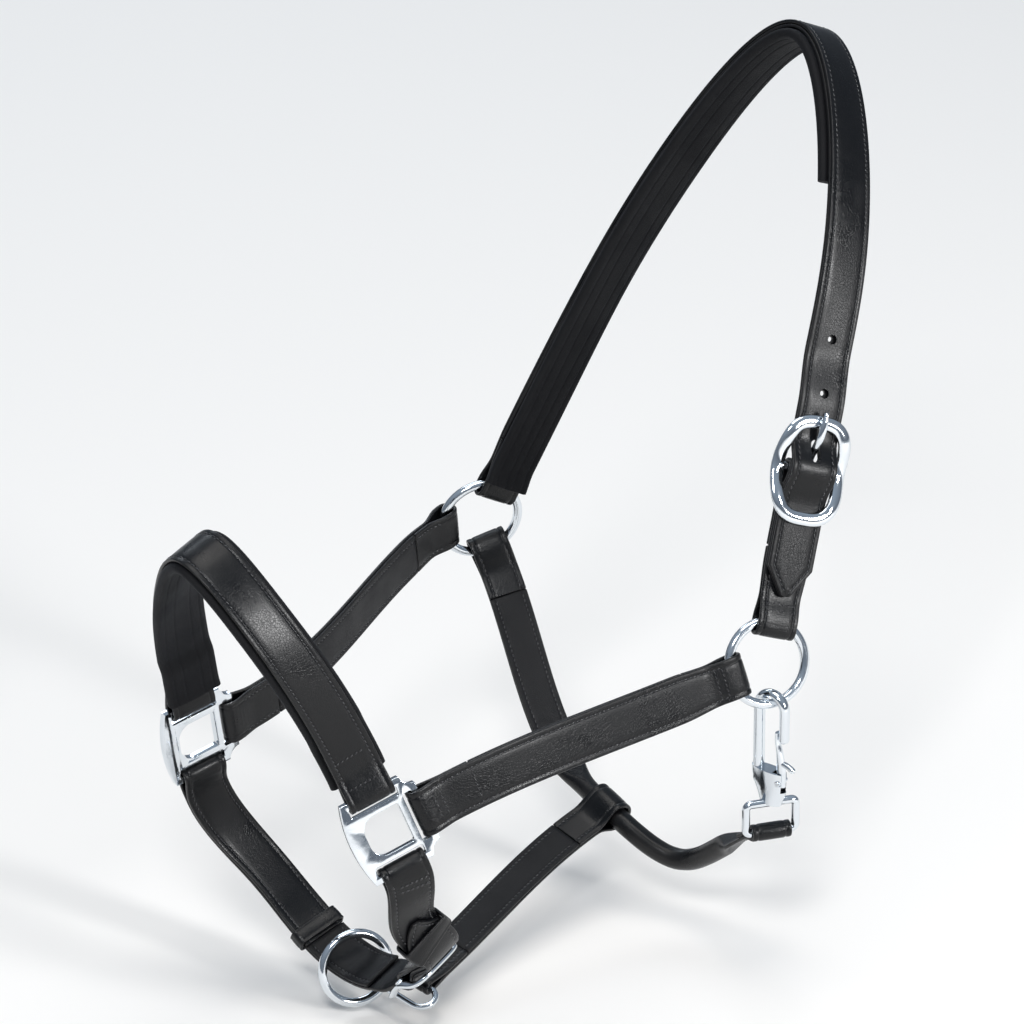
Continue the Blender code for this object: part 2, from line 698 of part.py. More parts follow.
# The far square hangs a little lower and further out than the near one
NEAR_SQUARE = square_frame(SQUARES + OUT_NEAR * SQUARE_HALF_WIDTH, (0.907, -0.277, 0.317),
                           (-0.22, 0.33, 0.92), 1)
FAR_SQUARE = square_frame(SQUARES - OUT_NEAR * SQUARE_HALF_WIDTH + np.array([-5.7, 2.6, -3.7]),
                          (0.98, -0.107, 0.166), (-0.18, -0.06, 0.98), -1)

PARTS = None
CUTTERS = None


def square_hold(square, rearward, upward, strap_end):
    """Loop on an outer bar of a halter square, toward its rear or up or down."""
    middle, rear, up, out = square
    way = rear * rearward + up * upward
    return bar_hold(middle, way, np.cross(way, out), out, strap_end, SQUARE_REACH, SQUARE_WRAP)


def crown_run():
    flat = np.cross(UP_CROWN, OUT_NEAR)
    low_side, high_side = (UP_CROWN * CROWN_RISE * rise - OUT_NEAR * RING_HALF_WIDTH * side
                           for rise, side in (CROWN_LOW, CROWN_HIGH))
    start = ring_hold(FAR_RING, low_side - FAR_RING[0], 1, LOOP_WIDTH)
    way = unit(mirrored(low_side) - NEAR_RING[0])
    end = ring_hold(NEAR_RING, way, -1, LOOP_WIDTH)
    straight = end.origin + way * np.linalg.norm(mirrored(low_side) - NEAR_RING[0])
    near_side = mirrored(high_side) + OUT_NEAR * NEAR_BULGE
    return Run(start, end, [(low_side, flat, None), (high_side, flat, None), (CROWN_TOP, flat, None),
                            (near_side, unit(flat + OUT_NEAR * NEAR_TURN), None),
                            (straight, end.across, -way)])


def crown():
    """Crown strap whose near end is the billet, its lining, the poll padding, chape and buckle."""
    run = crown_run()
    buckle = CROWN_BUCKLE
    centre = run.length - buckle["from_ring"]
    top_bar = centre - buckle["half_length"]
    ramp_start = top_bar - RAMP_END - RAMP

    def under(s):
        base = -HALF_GAP - LINING
        raised = HALF_GAP + STRAP + GAP
        ramp = ease((s - ramp_start) / RAMP)
        hump = chape_height(buckle, s - centre) - HALF_GAP - STRAP
        return base + (raised - base) * ramp + hump * (s > top_bar - 1)

    tip = centre + buckle["tip"]

    def width(s):
        end = 1 - max(0.0, s - (tip - TIP_LENGTH)) / TIP_LENGTH
        return TIP_WIDTH + (narrowed([run.start])(s) - TIP_WIDTH) * end

    back = run.start.at + RETURN
    run.refine(ramp_start, ramp_start + RAMP, 3)
    run.refine(top_bar, centre + buckle["half_length"], 14)
    run.refine(tip - TIP_LENGTH, tip, 2)
    pad = (run.start.at + CROWN_PAD_START, centre - CROWN_PAD_END)
    run.mark(*pad)
    strap = strip("crown_strap", run, (run.start.at, tip), "leather", width=width, folds=(run.start, None),
                  low=lambda s: under(s) + LINING + GAP)
    lining = strip("crown_lining", run, (back + GAP, tip), "lining", thickness=LINING, width=width,
                   low=under)
    strip("crown_padding", run, pad, "suede", thickness=PAD,
          width=lambda s: PAD_END_WIDTH + (PAD_WIDTH - PAD_END_WIDTH) * ease((s - pad[0]) / PAD_TAPER),
          low=lambda s: -HALF_GAP - STRAP - 2 * GAP - PAD - run.start.opening(s), edge=PAD_EDGE)
    pierce("crown_tongue", run, centre, buckle, (strap, lining))
    for k in (1, 2):
        at = centre - HOLE_IN_USE - k * HOLE_PITCH
        cutter = add_mesh("crown_hole_%d_cut" % k, cylinder(run.place(at, 0, -9), run.place(at, 0, 14),
                                                            HOLE_DIAMETER / 2), None)
        combine(strap, cutter, "DIFFERENCE")
        combine(lining, cutter, "DIFFERENCE")
    chape("crown_chape", run, centre, buckle, narrowed([run.end]))
    buckle_metal("crown_buckle", run, centre, buckle)


def pierce(name, run, centre, buckle, layers):
    """Hole in use, pulled long by the tongue."""
    near, far = buckle["slot"]
    half = buckle["tongue"] + TONGUE_CLEARANCE
    point, along, across, outward = run.frame(centre)
    shape = rounded_box(-far, -near, -half, half, (half - 0.1,) * 4, 4)
    cutter = add_mesh(name + "_hole_cut", prism((point, along, across, outward), shape, -4, 20), None)
    for layer in layers:
        combine(layer, cutter, "DIFFERENCE")


def chape(name, run, centre, buckle, width):
    """Short doubled strap from the buckle's centre bar to the run's end fitting."""
    bar = buckle_fold(buckle, centre)
    half = (run.end.at - centre) / 2 - GAP
    strap = strip(name, run, (centre, run.end.at), "leather", folds=(bar, run.end), returns=(half, half),
                  width=width, middle=lambda s: chape_middle(buckle, s - centre))
    point, along, across, outward = run.frame(centre)
    half = buckle["tongue"] + TONGUE_CLEARANCE
    shape = rounded_box(*CHAPE_SLOT, -half, half, (half - 0.1,) * 4, 3)
    cutter = add_mesh(name + "_slot_cut", prism((point, along, across, outward), shape, -8, 14), None)
    combine(strap, cutter, "DIFFERENCE")


def cheek(side, ring, square):
    """Cheekpiece looped on the ring and on the square's rear bar, with a lining between the ends."""
    start = ring_hold(ring, square[0] - ring[0], 1, LOOP_WIDTH)
    end = square_hold(square, 1, 0, -1)
    run = Run(start, end, [])
    width = narrowed([run.start])
    strip(side + "_cheek_strap", run, (run.start.at, run.end.at), "leather",
          folds=(run.start, run.end), width=width)
    strip(side + "_cheek_lining", run, (run.start.at + RETURN + GAP, run.end.at - RETURN - GAP), "lining",
          thickness=LINING, low=-HALF_GAP - LINING, width=width)


def noseband():
    flat = np.cross(UP_NOSE, OUT_NEAR)
    rise, side = NOSE_SHOULDER
    shoulder = SQUARES + UP_NOSE * NOSE_RISE * rise - OUT_NEAR * SQUARE_HALF_WIDTH * side
    start = square_hold(FAR_SQUARE, 0, 1, 1)
    end = square_hold(NEAR_SQUARE, 0, 1, -1)
    run = Run(start, end, [(shoulder, flat, None), (SQUARES + UP_NOSE * NOSE_RISE, flat, None),
                           (mirrored(shoulder), flat, None)])
    first, last = run.start.at + RETURN + 2, run.end.at - RETURN - 2
    pad = (run.start.at + NOSE_PAD_START, run.end.at - NOSE_PAD_START)
    run.refine(first, first + PAD_RISE, 3)
    run.refine(last - PAD_RISE, last, 3)
    run.mark(*pad)
    strip("noseband_strap", run, (run.start.at, run.end.at), "leather", folds=(run.start, run.end))

    def under(s):
        ends = max(1 - ease((s - first) / PAD_RISE), 1 - ease((last - s) / PAD_RISE))
        return -PAD - GAP - (STRAP + GAP) * ends - run.start.opening(s) - run.end.opening(s)

    strip("noseband_padding", run, pad, "suede", thickness=PAD, width=PAD_WIDTH, edge=PAD_EDGE, low=under)


def chin_run():
    """From the far square below the jaw to the near square, straight at the buckle."""
    start = square_hold(FAR_SQUARE, 0, -1, 1)
    end = square_hold(NEAR_SQUARE, 0, -1, -1)
    low = SQUARES - np.array([0, 0, CHIN_DROP])
    way = unit((-0.03, -0.75, 0.60))
    buckle = low + np.array([35, -50, 12.5])
    below = across_for(way, (0.31, -0.58, -0.72))
    straight = way * (CHIN_BUCKLE["half_length"] + 3.5)
    off_side = low + np.array([24, 56, 26]), across_for((0.1, -0.5, -0.8), (0, 0.85, -0.5)), None
    under_jaw = low + np.array([34, 10, -7.0]), across_for((0.05, -0.99, 0.02), (0.28, 0, -0.96)), None
    near_side = low + np.array([17, -73, 50]), across_for((-0.35, -0.2, 0.9), (-0.05, -0.97, -0.2)), None
    run = Run(start, end, [off_side, under_jaw, (buckle - straight, below, way),
                           (buckle + straight, below, way), near_side])
    return run, run.nearest(buckle)


def chin():
    """Chin strap whose near end is the billet, its lining, the chape, two keepers, buckle and ring."""
    run, centre = chin_run()
    buckle = CHIN_BUCKLE
    ring_bar = centre - buckle["half_length"]
    ramp_start = ring_bar - CHIN_RAMP_END - CHIN_RAMP

    def under(s):
        raised = STRAP + GAP
        hump = chape_height(buckle, s - centre) - HALF_GAP - STRAP
        return HALF_GAP + raised * ease((s - ramp_start) / CHIN_RAMP) + hump * (s > ring_bar - 1)

    tip = centre + buckle["tip"]

    def width(s):
        end = 1 - max(0.0, s - (tip - TIP_LENGTH)) / TIP_LENGTH
        return TIP_WIDTH + (STRAP_WIDTH - TIP_WIDTH) * end

    at_ring = centre - CHIN_RING_AT
    fold_end = at_ring - CHIN_RETURN_AT
    run.refine(ramp_start, ramp_start + CHIN_RAMP, 3)
    run.refine(ring_bar, centre + buckle["half_length"], 12)
    run.refine(tip - TIP_LENGTH, tip, 2)
    near_keeper = centre + NEAR_KEEPER_AT
    run.refine(near_keeper - 6, near_keeper + 6, 2)
    run.mark(fold_end, ramp_start - 1)
    strap = strip("off_chin_strap", run, (run.start.at, tip), "leather", width=width,
                  folds=(run.start, None), returns=(fold_end - run.start.at, 0), low=under)
    strip("chin_lining", run, (fold_end + GAP, ramp_start - 1), "lining", thickness=LINING,
          low=-HALF_GAP - LINING)
    pierce("chin_tongue", run, centre, buckle, (strap,))
    chape("near_chin_chape", run, centre, buckle, STRAP_WIDTH)
    buckle_metal("chin_buckle", run, centre, buckle)
    half = STRAP_WIDTH / 2
    keeper("chin_keeper", run, fold_end - CHIN_KEEPER_AT, CHIN_KEEPER_LENGTH, half, -HALF_GAP - STRAP,
           HALF_GAP + STRAP)
    keeper("near_keeper", run, near_keeper, NEAR_KEEPER_LENGTH, half, -HALF_GAP - STRAP,
           HALF_GAP + 2 * STRAP + GAP)

    point, along, across, outward = run.frame(at_ring)
    axis = unit((-0.30, -0.92, 0.25))
    clear = CHIN_RING_RADIUS - CHIN_RING_WIRE
    hang = sqrt(clear ** 2 - half ** 2) - HALF_GAP - LINING - GAP - 2.8
    hanging = unit(outward - axis * np.dot(outward, axis))
    ring = (point + hanging * hang, axis, CHIN_RING_RADIUS, CHIN_RING_WIRE)
    round_ring("chin_ring", ring)
    return ring


THROAT_WAY = unit((0, -1, -0.3))


def throat_point():
    return np.array([THROAT_BACK, 0, -THROAT_DROP])


def jaw(ring):
    """Oblong link on the chin ring, and the jaw strap from it to the throatlatch."""
    centre, axis, radius, wire = ring
    rear = unit(np.array([1.0, 0, 0]) - axis * axis[0])
    down = np.cross(rear, axis)
    down = down if down[2] < 0 else -down
    touch = centre + radius * (rear * cos(radians(30)) + down * sin(radians(30)))
    half_length = LINK_STRAIGHT / 2 + LINK_HALF_WIDTH
    way = unit(throat_point() - touch - np.array([3, -12, 0]))
    length = np.array([0.235, -0.962, -0.15])
    length = unit(length - way * np.dot(length, way))
    middle = touch + length * (half_length - LINK_WIRE - wire - 1.4)
    normal = np.cross(length, way)
    path = rounded_box(-half_length, half_length, -LINK_HALF_WIDTH, LINK_HALF_WIDTH,
                       (LINK_HALF_WIDTH - 0.01,) * 4, 5)
    add_mesh("chin_link", tube([middle + length * u + way * v for u, v in path], LINK_WIRE, LINK_WIRE,
                               normal, True, 8), "chrome", middle)

    shift = length * (LINK_STRAIGHT - JAW_WIDTH) / 2
    below = np.array([0.25, 0, -0.97])
    start = bar_hold(middle + shift, way, length, below, 1, LINK_HALF_WIDTH, LINK_WIRE)
    back = unit(middle - throat_point() + np.array([0, 0, -8]))
    end = bar_hold(throat_point(), back, THROAT_WAY, below, -1, 0.0, ROLL_DIAMETER / 2 + GAP)
    run = Run(start, end, [])
    strip("jaw_strap", run, (run.start.at, run.end.at), "leather", folds=(run.start, run.end),
          width=JAW_WIDTH)
    strip("jaw_lining", run, (run.start.at + RETURN + GAP, run.end.at - RETURN - GAP), "lining",
          thickness=LINING, low=-HALF_GAP - LINING, width=JAW_WIDTH)


def throat():
    """Snap on the near ring and the throatlatch: flat at its ends, rolled in the middle."""
    centre, axis, radius, wire = NEAR_RING
    down = unit(axis * axis[2] - np.array([0, 0, 1.0]))
    contact = centre + down * radius
    turn = radians(-80)
    eye_way = unit((0.9, -0.42, 0))
    trigger_snap(contact, np.array([cos(turn), sin(turn), 0]), eye_way)

    eye_bar = contact + np.array([0, 0, SNAP_BAR])
    point = throat_point()
    start = ring_hold(FAR_RING, point - FAR_RING[0], 1, LOOP_WIDTH)
    away = unit((0.357, 0.765, -0.52))
    end = bar_hold(eye_bar, away, eye_way, (0.2, -0.5, -0.8), -1, 0.0, SNAP_WIRE)
    across = across_for(THROAT_WAY, (0.2, 0, -0.97))
    held = THROAT_WAY * (JAW_WIDTH / 2 + 1)
    run = Run(start, end, [(point - held, across, THROAT_WAY), (point + held, across, THROAT_WAY),
                           (np.array([2, -40, -THROAT_DROP - 18]), across, None),
                           (np.array([6, -78, -THROAT_DROP + 5]), across, None)])
    roll_start = run.nearest(point) - ROLL_BEFORE
    roll_end = run.end.at - ROLL_AFTER
    run.refine(roll_start, roll_start + ROLL_IN, 5)
    run.refine(roll_end - ROLL_OUT, roll_end, 4)

    def rolled(s):
        return ease((s - roll_start) / ROLL_IN) * ease((roll_end - s) / ROLL_OUT)

    size = ROLL_DIAMETER * cos(pi / 8)

    def thickness(s):
        return STRAP + (size - STRAP) * rolled(s)

    def low(s):
        return HALF_GAP - (HALF_GAP + size / 2) * rolled(s)

    strip("throatlatch", run, (run.start.at, run.end.at), "leather", thickness=thickness, low=low,
          width=lambda s: LOOP_WIDTH - 1 + (size - LOOP_WIDTH + 1) * rolled(s),
          edge=lambda s: EDGE + (size * (1 - sqrt(0.5)) - EDGE) * rolled(s), folds=(run.start, run.end),
          returns=(RETURN, SNAP_RETURN))
    strip("throatlatch_lining", run, (run.start.at + RETURN + GAP, roll_start - 2), "lining",
          thickness=LINING, low=-HALF_GAP - LINING, width=LOOP_WIDTH - 1)


def build():
    global PARTS, CUTTERS
    for obj in list(bpy.data.objects):
        bpy.data.objects.remove(obj)
    PARTS = collection(TITLE)
    CUTTERS = collection("cutters")
    crown()
    round_ring("near_upper_ring", NEAR_RING)
    round_ring("far_upper_ring", FAR_RING)
    cheek("near", NEAR_RING, NEAR_SQUARE)
    cheek("far", FAR_RING, FAR_SQUARE)
    slot_half = STRAP_WIDTH / 2 + SLOT_CLEARANCE
    halter_square("near_square", NEAR_SQUARE, slot_half)
    halter_square("far_square", FAR_SQUARE, slot_half)
    noseband()
    jaw(chin())
    throat()


build()
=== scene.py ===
"""Looks of the leather headcollar: fine leather, thread, padding and chrome round the CAD frame.

Lengths are in millimetres up to write_mesh, which writes metres. As in the CAD source, points
are measured from the middle between the two upper rings, and POLL moves them to the frame.
"""
from functools import lru_cache
from math import cos, exp, pi, radians, sin, sqrt

import bmesh
import bpy
import numpy as np
from mathutils import Matrix, Vector


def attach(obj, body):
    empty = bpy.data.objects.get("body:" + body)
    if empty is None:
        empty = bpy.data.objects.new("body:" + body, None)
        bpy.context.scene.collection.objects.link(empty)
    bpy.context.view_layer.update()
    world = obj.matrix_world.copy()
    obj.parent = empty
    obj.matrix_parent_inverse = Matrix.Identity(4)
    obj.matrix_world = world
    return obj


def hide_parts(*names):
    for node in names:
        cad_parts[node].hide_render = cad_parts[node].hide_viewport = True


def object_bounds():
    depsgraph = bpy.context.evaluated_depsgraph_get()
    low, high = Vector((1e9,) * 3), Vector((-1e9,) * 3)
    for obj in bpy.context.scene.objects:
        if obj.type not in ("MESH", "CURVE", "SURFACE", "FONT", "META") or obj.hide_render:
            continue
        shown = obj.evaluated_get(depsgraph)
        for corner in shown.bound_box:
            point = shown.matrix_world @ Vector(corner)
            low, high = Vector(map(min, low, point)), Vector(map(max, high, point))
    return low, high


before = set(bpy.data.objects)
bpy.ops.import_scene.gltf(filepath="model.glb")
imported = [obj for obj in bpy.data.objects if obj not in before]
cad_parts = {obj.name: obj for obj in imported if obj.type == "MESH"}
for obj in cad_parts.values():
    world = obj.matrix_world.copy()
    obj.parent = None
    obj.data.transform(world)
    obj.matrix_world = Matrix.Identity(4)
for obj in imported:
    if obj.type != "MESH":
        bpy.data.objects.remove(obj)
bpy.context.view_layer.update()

MM = 0.001

# ---- overall layout ----
CHEEK_LENGTH = 227.0        # ring middle to square middle
CHEEK_DROP = 8.3            # degrees that the square lies below the ring
RING_HALF_WIDTH = 113.0     # upper ring middle to the middle plane
SQUARE_HALF_WIDTH = 72.0
CROWN_RISE = 311.0          # ring middle to the top of the crown line
CROWN_LEAN = 25.5           # degrees backward from upright
NOSE_RISE = 158.0           # square middle to the top of the nose line
NOSE_LEAN = 20.5            # degrees forward from upright
CHIN_DROP = 112.0           # square middle to the bottom of the chin line
THROAT_DROP = 129.0         # ring middle to the throatlatch at the jaw strap
THROAT_BACK = -9.0          # and its place along X

# Places that the lines pass, as shares of their rise and of their half width
CROWN_LOW = (0.443, 0.77)
CROWN_HIGH = (0.706, 0.558)
NOSE_SHOULDER = (0.828, 0.4375)
NEAR_BULGE = 6.0            # near side of the crown, further out than the far side
NEAR_TURN = 0.3             # and turned toward the front by this slope

# ---- leather ----
STRAP_WIDTH = 25.0
LOOP_WIDTH = 22.0           # straps narrow to this where they loop on a round ring
JAW_WIDTH = 20.0
PAD_WIDTH = 31.0
STRAP = 2.0                 # thickness of strap leather
LINING = 1.9
PAD = 5.0
GAP = 0.3                   # between touching pieces
HALF_GAP = GAP / 2
SPREAD = 15.0               # length in which the two legs of a loop come together
LEAD = 4.0                  # straight stretch beyond a bar or ring
RETURN = 30.0               # length of the stitched-back end of a loop
SNAP_RETURN = 24.0          # the same at the snap
ROLL_DIAMETER = 12.5        # rolled part of the throatlatch
ROLL_BEFORE = 44.0          # where it starts, before the jaw strap
ROLL_AFTER = 38.0           # and where it ends, before the snap
ROLL_IN = 28.0              # lengths in which the flat strap turns into the roll and back
ROLL_OUT = 16.0
CROWN_PAD_END = 149.0       # from the buckle's centre bar
PAD_RISE = 10.0             # length in which the nose padding comes up to the strap
PAD_END_WIDTH = 25.0        # crown padding at the far ring
PAD_TAPER = 170.0           # length in which it widens
RAMP = 30.0                 # length in which the billet rises onto the chape
RAMP_END = 8.0              # from there to the buckle's top bar
CHIN_RAMP = 12.0
CHIN_RAMP_END = 2.0
HOLE_DIAMETER = 5.0
HOLE_PITCH = 28.0
HOLE_IN_USE = 12.0          # from the buckle's centre bar
LINING_HOLE = 2.8           # free holes, half closed up in the lining
HOLES_FREE = (1, 2)
TIP_LENGTH = 15.0
TIP_WIDTH = 5.0
KEEPER_THICKNESS = 1.6
KEEPER_CORNER = 1.2
NEAR_KEEPER_AT = 44.0       # from the chin buckle's centre bar
NEAR_KEEPER_LENGTH = 11.0
CHIN_KEEPER_AT = 6.0        # from the end of the chin strap's return
CHIN_KEEPER_LENGTH = 9.0
CHIN_RING_AT = 57.0         # from the chin buckle's centre bar
CHIN_RETURN_AT = 22.0       # chin ring to the end of the chin strap's return

# ---- metal ----
RING_RADIUS = 21.5
RING_WIRE = 2.5
CHIN_RING_WIRE = 2.5
CHIN_RING_CLEARANCE = 3.5   # beside the strap that it is threaded on
CHIN_RING_RADIUS = STRAP_WIDTH / 2 + CHIN_RING_CLEARANCE + CHIN_RING_WIRE
SQUARE_WINDOW = 11.0        # half of the window
SQUARE_BAR = 3.5
SQUARE_SLOT = 5.0
SQUARE_THICKNESS = 4.0
SQUARE_BAR_END = 3.0        # outer bar beyond its slot
SQUARE_BULGE = 3.5          # rise of the curved nose side
SQUARE_CORNER = 1.2
SLOT_CLEARANCE = 1.0        # slot end beyond the strap edge
LINK_WIRE = 1.75
LINK_HALF_WIDTH = 7.25
LINK_STRAIGHT = 22.0
SNAP_BAR = -75.0            # strap bar of the snap's eye, below the ring's wire
SNAP_EYE = 13.5
SNAP_WIRE = 2.2
SNAP_NOSE = -20.0
SNAP_PIVOT = (6.3, -44.0)
SNAP_HOOK_RADIUS = 8.0
SNAP_HOOK_TOP = 2.6         # half thickness of the hook where it lies on the ring
SNAP_PIN = 1.4
SNAP_PIN_LENGTH = 8.0

# ---- buckles ----
BUCKLE_CLEARANCE = 1.5      # between a strap's edge and the frame
TONGUE_CLEARANCE = 0.5      # beside the tongue in its slot
TONGUE_EYE = 0.95           # wire of the tongue's eye
TONGUE_BEYOND = 4.5         # tongue's tip beyond the middle of the frame's end bar
CHAPE_SLOT = (-8.0, 7.5)    # from the centre bar
CROWN_BUCKLE = {"half_width": STRAP_WIDTH / 2 + BUCKLE_CLEARANCE + 3.5, "half_length": 25.0,
                "bar_width": 3.5, "bar_height": 1.75, "centre_bar": 2.25, "set_back": 4.0,
                "from_ring": 101.0, "billet": STRAP + GAP + LINING, "tip": 66.0, "tongue": 2.1,
                "slot": (4.4, 16.0), "oval": 3.0,
                "shank": ((6.0, 0.2), (9.0, 1.6), (13.0, 4.6), (17.0, 7.2), (21.0, 8.4))}
CHIN_BUCKLE = {"half_width": STRAP_WIDTH / 2 + BUCKLE_CLEARANCE + 2.5, "half_length": 17.5,
               "bar_width": 2.5, "bar_height": 1.5, "centre_bar": 2.0, "set_back": 2.5,
               "billet": STRAP, "tip": 62.0, "tongue": 1.8, "slot": (4.0, 12.5), "oval": 4.0,
               "shank": ((5.0, 0.4), (8.0, 2.5), (12.0, 5.5), (15.0, 6.9))}


# ---------------------------------------------------------------- small maths

def unit(vector):
    vector = np.asarray(vector, float)
    return vector / np.linalg.norm(vector)


def ease(x):
    x = min(max(x, 0.0), 1.0)
    return x * x * (3.0 - 2.0 * x)


def mirrored(vector):
    return np.array([vector[0], -vector[1], vector[2]], float)


def clamped_spline(knots, start_slope, end_slope, samples=40):
    """Smooth curve through the knots and its slopes, with the slope given at both ends."""
    knots = np.array(knots, float)
    steps = np.linalg.norm(np.diff(knots[:, :3], axis=0), axis=1)
    count = len(knots)
    system = np.eye(count)
    right = np.zeros(knots.shape)
    right[0] = start_slope
    right[-1] = end_slope
    for i in range(1, count - 1):
        before, after = steps[i - 1], steps[i]
        system[i, i - 1:i + 2] = (after, 2 * (before + after), before)
        right[i] = 3 * (after / before * (knots[i] - knots[i - 1])
                        + before / after * (knots[i + 1] - knots[i]))
    slopes = np.linalg.solve(system, right)
    curve, along = [], []
    for i in range(count - 1):
        rise = knots[i + 1] - knots[i]
        for x in np.linspace(0, 1, samples + 1):
            curve.append(knots[i] + rise * x * x * (3 - 2 * x)
                         + steps[i] * (slopes[i] * x * (1 - x) ** 2 - slopes[i + 1] * x * x * (1 - x)))
            along.append(rise / steps[i] * 6 * x * (1 - x)
                         + slopes[i] * (1 - x) * (1 - 3 * x) + slopes[i + 1] * x * (3 * x - 2))
    return curve, along


# ---------------------------------------------------------------- where straps are held

class Hold:
    """A fitting that a strap is looped on: middle, way out, width direction, loop size."""

    def __init__(self, origin, out, across, reach, flat, radius):
        self.origin = np.asarray(origin, float)
        self.out = unit(out)
        self.across = unit(across)
        self.reach = reach
        self.flat = flat
        self.radius = radius


def across_for(along, outward):
    """Width direction of a strap, so that cross(along, across) faces outward."""
    return unit(np.cross(outward, along))


def ring_hold(ring, out, strap_end, width):
    """Loop on a round ring. strap_end is +1 where the strap starts and -1 where it ends."""
    centre, axis, radius, wire = ring
    out = unit(out)
    across = across_for(out * strap_end, axis)
    normal = np.cross(out * strap_end, across)
    radial = unit(out - axis * np.dot(out, axis))
    inner = sqrt((radius - wire) ** 2 - (width / 2) ** 2) + wire
    tilt = np.dot(radial, normal)
    lean = np.dot(radial, out)
    return Hold(centre + normal * (radius + inner) / 2 * tilt, out, across, inner * lean,
                radius * lean, wire + 1.4 * GAP + (radius - inner) / 2 * abs(tilt))


class Fold:
    """A loop in the distances of a run. toward is the direction in which the strap leaves."""

    def __init__(self, at, flat, radius, toward, spread=SPREAD):
        self.spread = spread
        self.at = at
        self.flat = flat
        self.radius = radius
        self.toward = toward

    def opening(self, s):
        return (self.radius - HALF_GAP) * (1 - ease((s - self.flat) * self.toward / self.spread))


class Run:
    """The middle line of a strap from one hold to the other.

    Each place between has a point, a direction across and, where the strap is to run straight
    from there or up to there, its direction along.
    """

    def __init__(self, start, end, between):
        still = np.zeros(3)
        knots = [np.r_[start.origin, start.across]]
        slope = np.r_[start.out, still]
        curve, along = [], []
        places = [(start.origin + start.out * (start.flat + LEAD), start.across, start.out), *between,
                  (end.origin + end.out * (end.flat + LEAD), end.across, -end.out),
                  (end.origin, end.across, -end.out)]
        for point, across, direction in places:
            knots.append(np.r_[point, unit(across)])
            if direction is not None:
                next_slope = np.r_[unit(direction), still]
                more_curve, more_along = clamped_spline(knots, slope, next_slope)
                curve += more_curve
                along += more_along
                knots = [knots[-1]]
                slope = next_slope
        curve = np.array(curve)
        self.points = curve[:, :3]
        lengths = np.linalg.norm(np.diff(self.points, axis=0), axis=1)
        self.distance = np.r_[0, np.cumsum(lengths + 1e-9)]
        self.length = self.distance[-1]
        self.along = np.array([unit(way) for way in np.array(along)[:, :3]])
        self.across = np.array([unit(side - way * np.dot(side, way))
                                for side, way in zip(curve[:, 3:], self.along)])
        self.start = Fold(start.reach, start.flat, start.radius, 1)
        self.end = Fold(self.length - end.reach, self.length - end.flat, end.radius, -1)

    def nearest(self, point):
        return self.distance[np.argmin(np.linalg.norm(self.points - point, axis=1))]

    @lru_cache(maxsize=None)
    def frame(self, s):
        point, along, across = (np.array([np.interp(s, self.distance, table[:, k]) for k in range(3)])
                                for table in (self.points, self.along, self.across))
        along = unit(along)
        across = unit(across - along * np.dot(across, along))
        return point, along, across, np.cross(along, across)

    def place(self, s, v, n):
        """Point at distance s along the run, v across it and n outward."""
        point, along, across, outward = self.frame(min(max(s, 0.0), self.length))
        beyond = s - min(max(s, 0.0), self.length)
        return point + along * beyond + across * v + outward * n


# ---------------------------------------------------------------- fittings and layout

def bar_hold(centre, out, bar_way, outward, strap_end, distance, bar):
    """Loop on a straight bar that lies at a distance from the fitting's middle."""
    bar_way = unit(bar_way)
    out = unit(out - bar_way * np.dot(out, bar_way))
    if np.dot(np.cross(out * strap_end, bar_way), outward) < 0:
        bar_way = -bar_way
    return Hold(centre, out, bar_way, distance, distance, bar + GAP)


def arc(x, y, radius, start, end, steps):
    angles = np.radians(np.linspace(start, end, steps + 1))
    return [(x + radius * cos(a), y + radius * sin(a)) for a in angles]


def rounded_box(left, right, bottom, top, corners, steps=4):
    """Outline with corner radii in the order right top, left top, left bottom, right bottom."""
    outline = []
    for k, (x, y) in enumerate(((right, top), (left, top), (left, bottom), (right, bottom))):
        r = corners[k]
        outline += arc(x - r * (1 if x == right else -1), y - r * (1 if y == top else -1), r,
                       90 * k, 90 * k + 90, steps)
    return outline


SQUARE_REACH = SQUARE_WINDOW + SQUARE_BAR + SQUARE_SLOT + SQUARE_BAR / 2
SQUARE_WRAP = sqrt(SQUARE_BAR ** 2 + SQUARE_THICKNESS ** 2) / 2


def narrowed(folds, wide=STRAP_WIDTH, slim=LOOP_WIDTH, length=28.0):
    """Width that drops from wide to slim at the given folds."""
    def width(s):
        nearest = min(abs(s - fold.flat) if (s - fold.flat) * fold.toward > 0 else 0 for fold in folds)
        return slim + (wide - slim) * ease((nearest - 6) / length)
    return width


def buckle_fold(buckle, centre):
    """The chape's loop on the buckle's centre bar."""
    return Fold(centre, centre + 1.0, buckle["centre_bar"] + GAP, 1, 0.55 * buckle["half_length"])


def chape_height(buckle, x):
    """Height of the chape's outer face over the run's middle, at x from the centre bar."""
    return chape_middle(buckle, x) + HALF_GAP + STRAP + buckle_fold(buckle, 0).opening(abs(x))


def chape_middle(buckle, x):
    return buckle["set_back"] * (1 - ease((abs(x) - 2.0) / (0.6 * buckle["half_length"])))


def frame_height(buckle):
    """Height of the frame's end bars, clear of the billet below them."""
    return HALF_GAP + STRAP + GAP + buckle["billet"] + GAP + buckle["bar_height"]


OUT_NEAR = np.array([0.0, -1.0, 0.0])
UP_CROWN = np.array([sin(radians(CROWN_LEAN)), 0, cos(radians(CROWN_LEAN))])
UP_NOSE = np.array([-sin(radians(NOSE_LEAN)), 0, cos(radians(NOSE_LEAN))])
CROWN_TOP = UP_CROWN * CROWN_RISE
POLL = CROWN_TOP - UP_CROWN * (HALF_GAP + LINING + GAP + PAD)

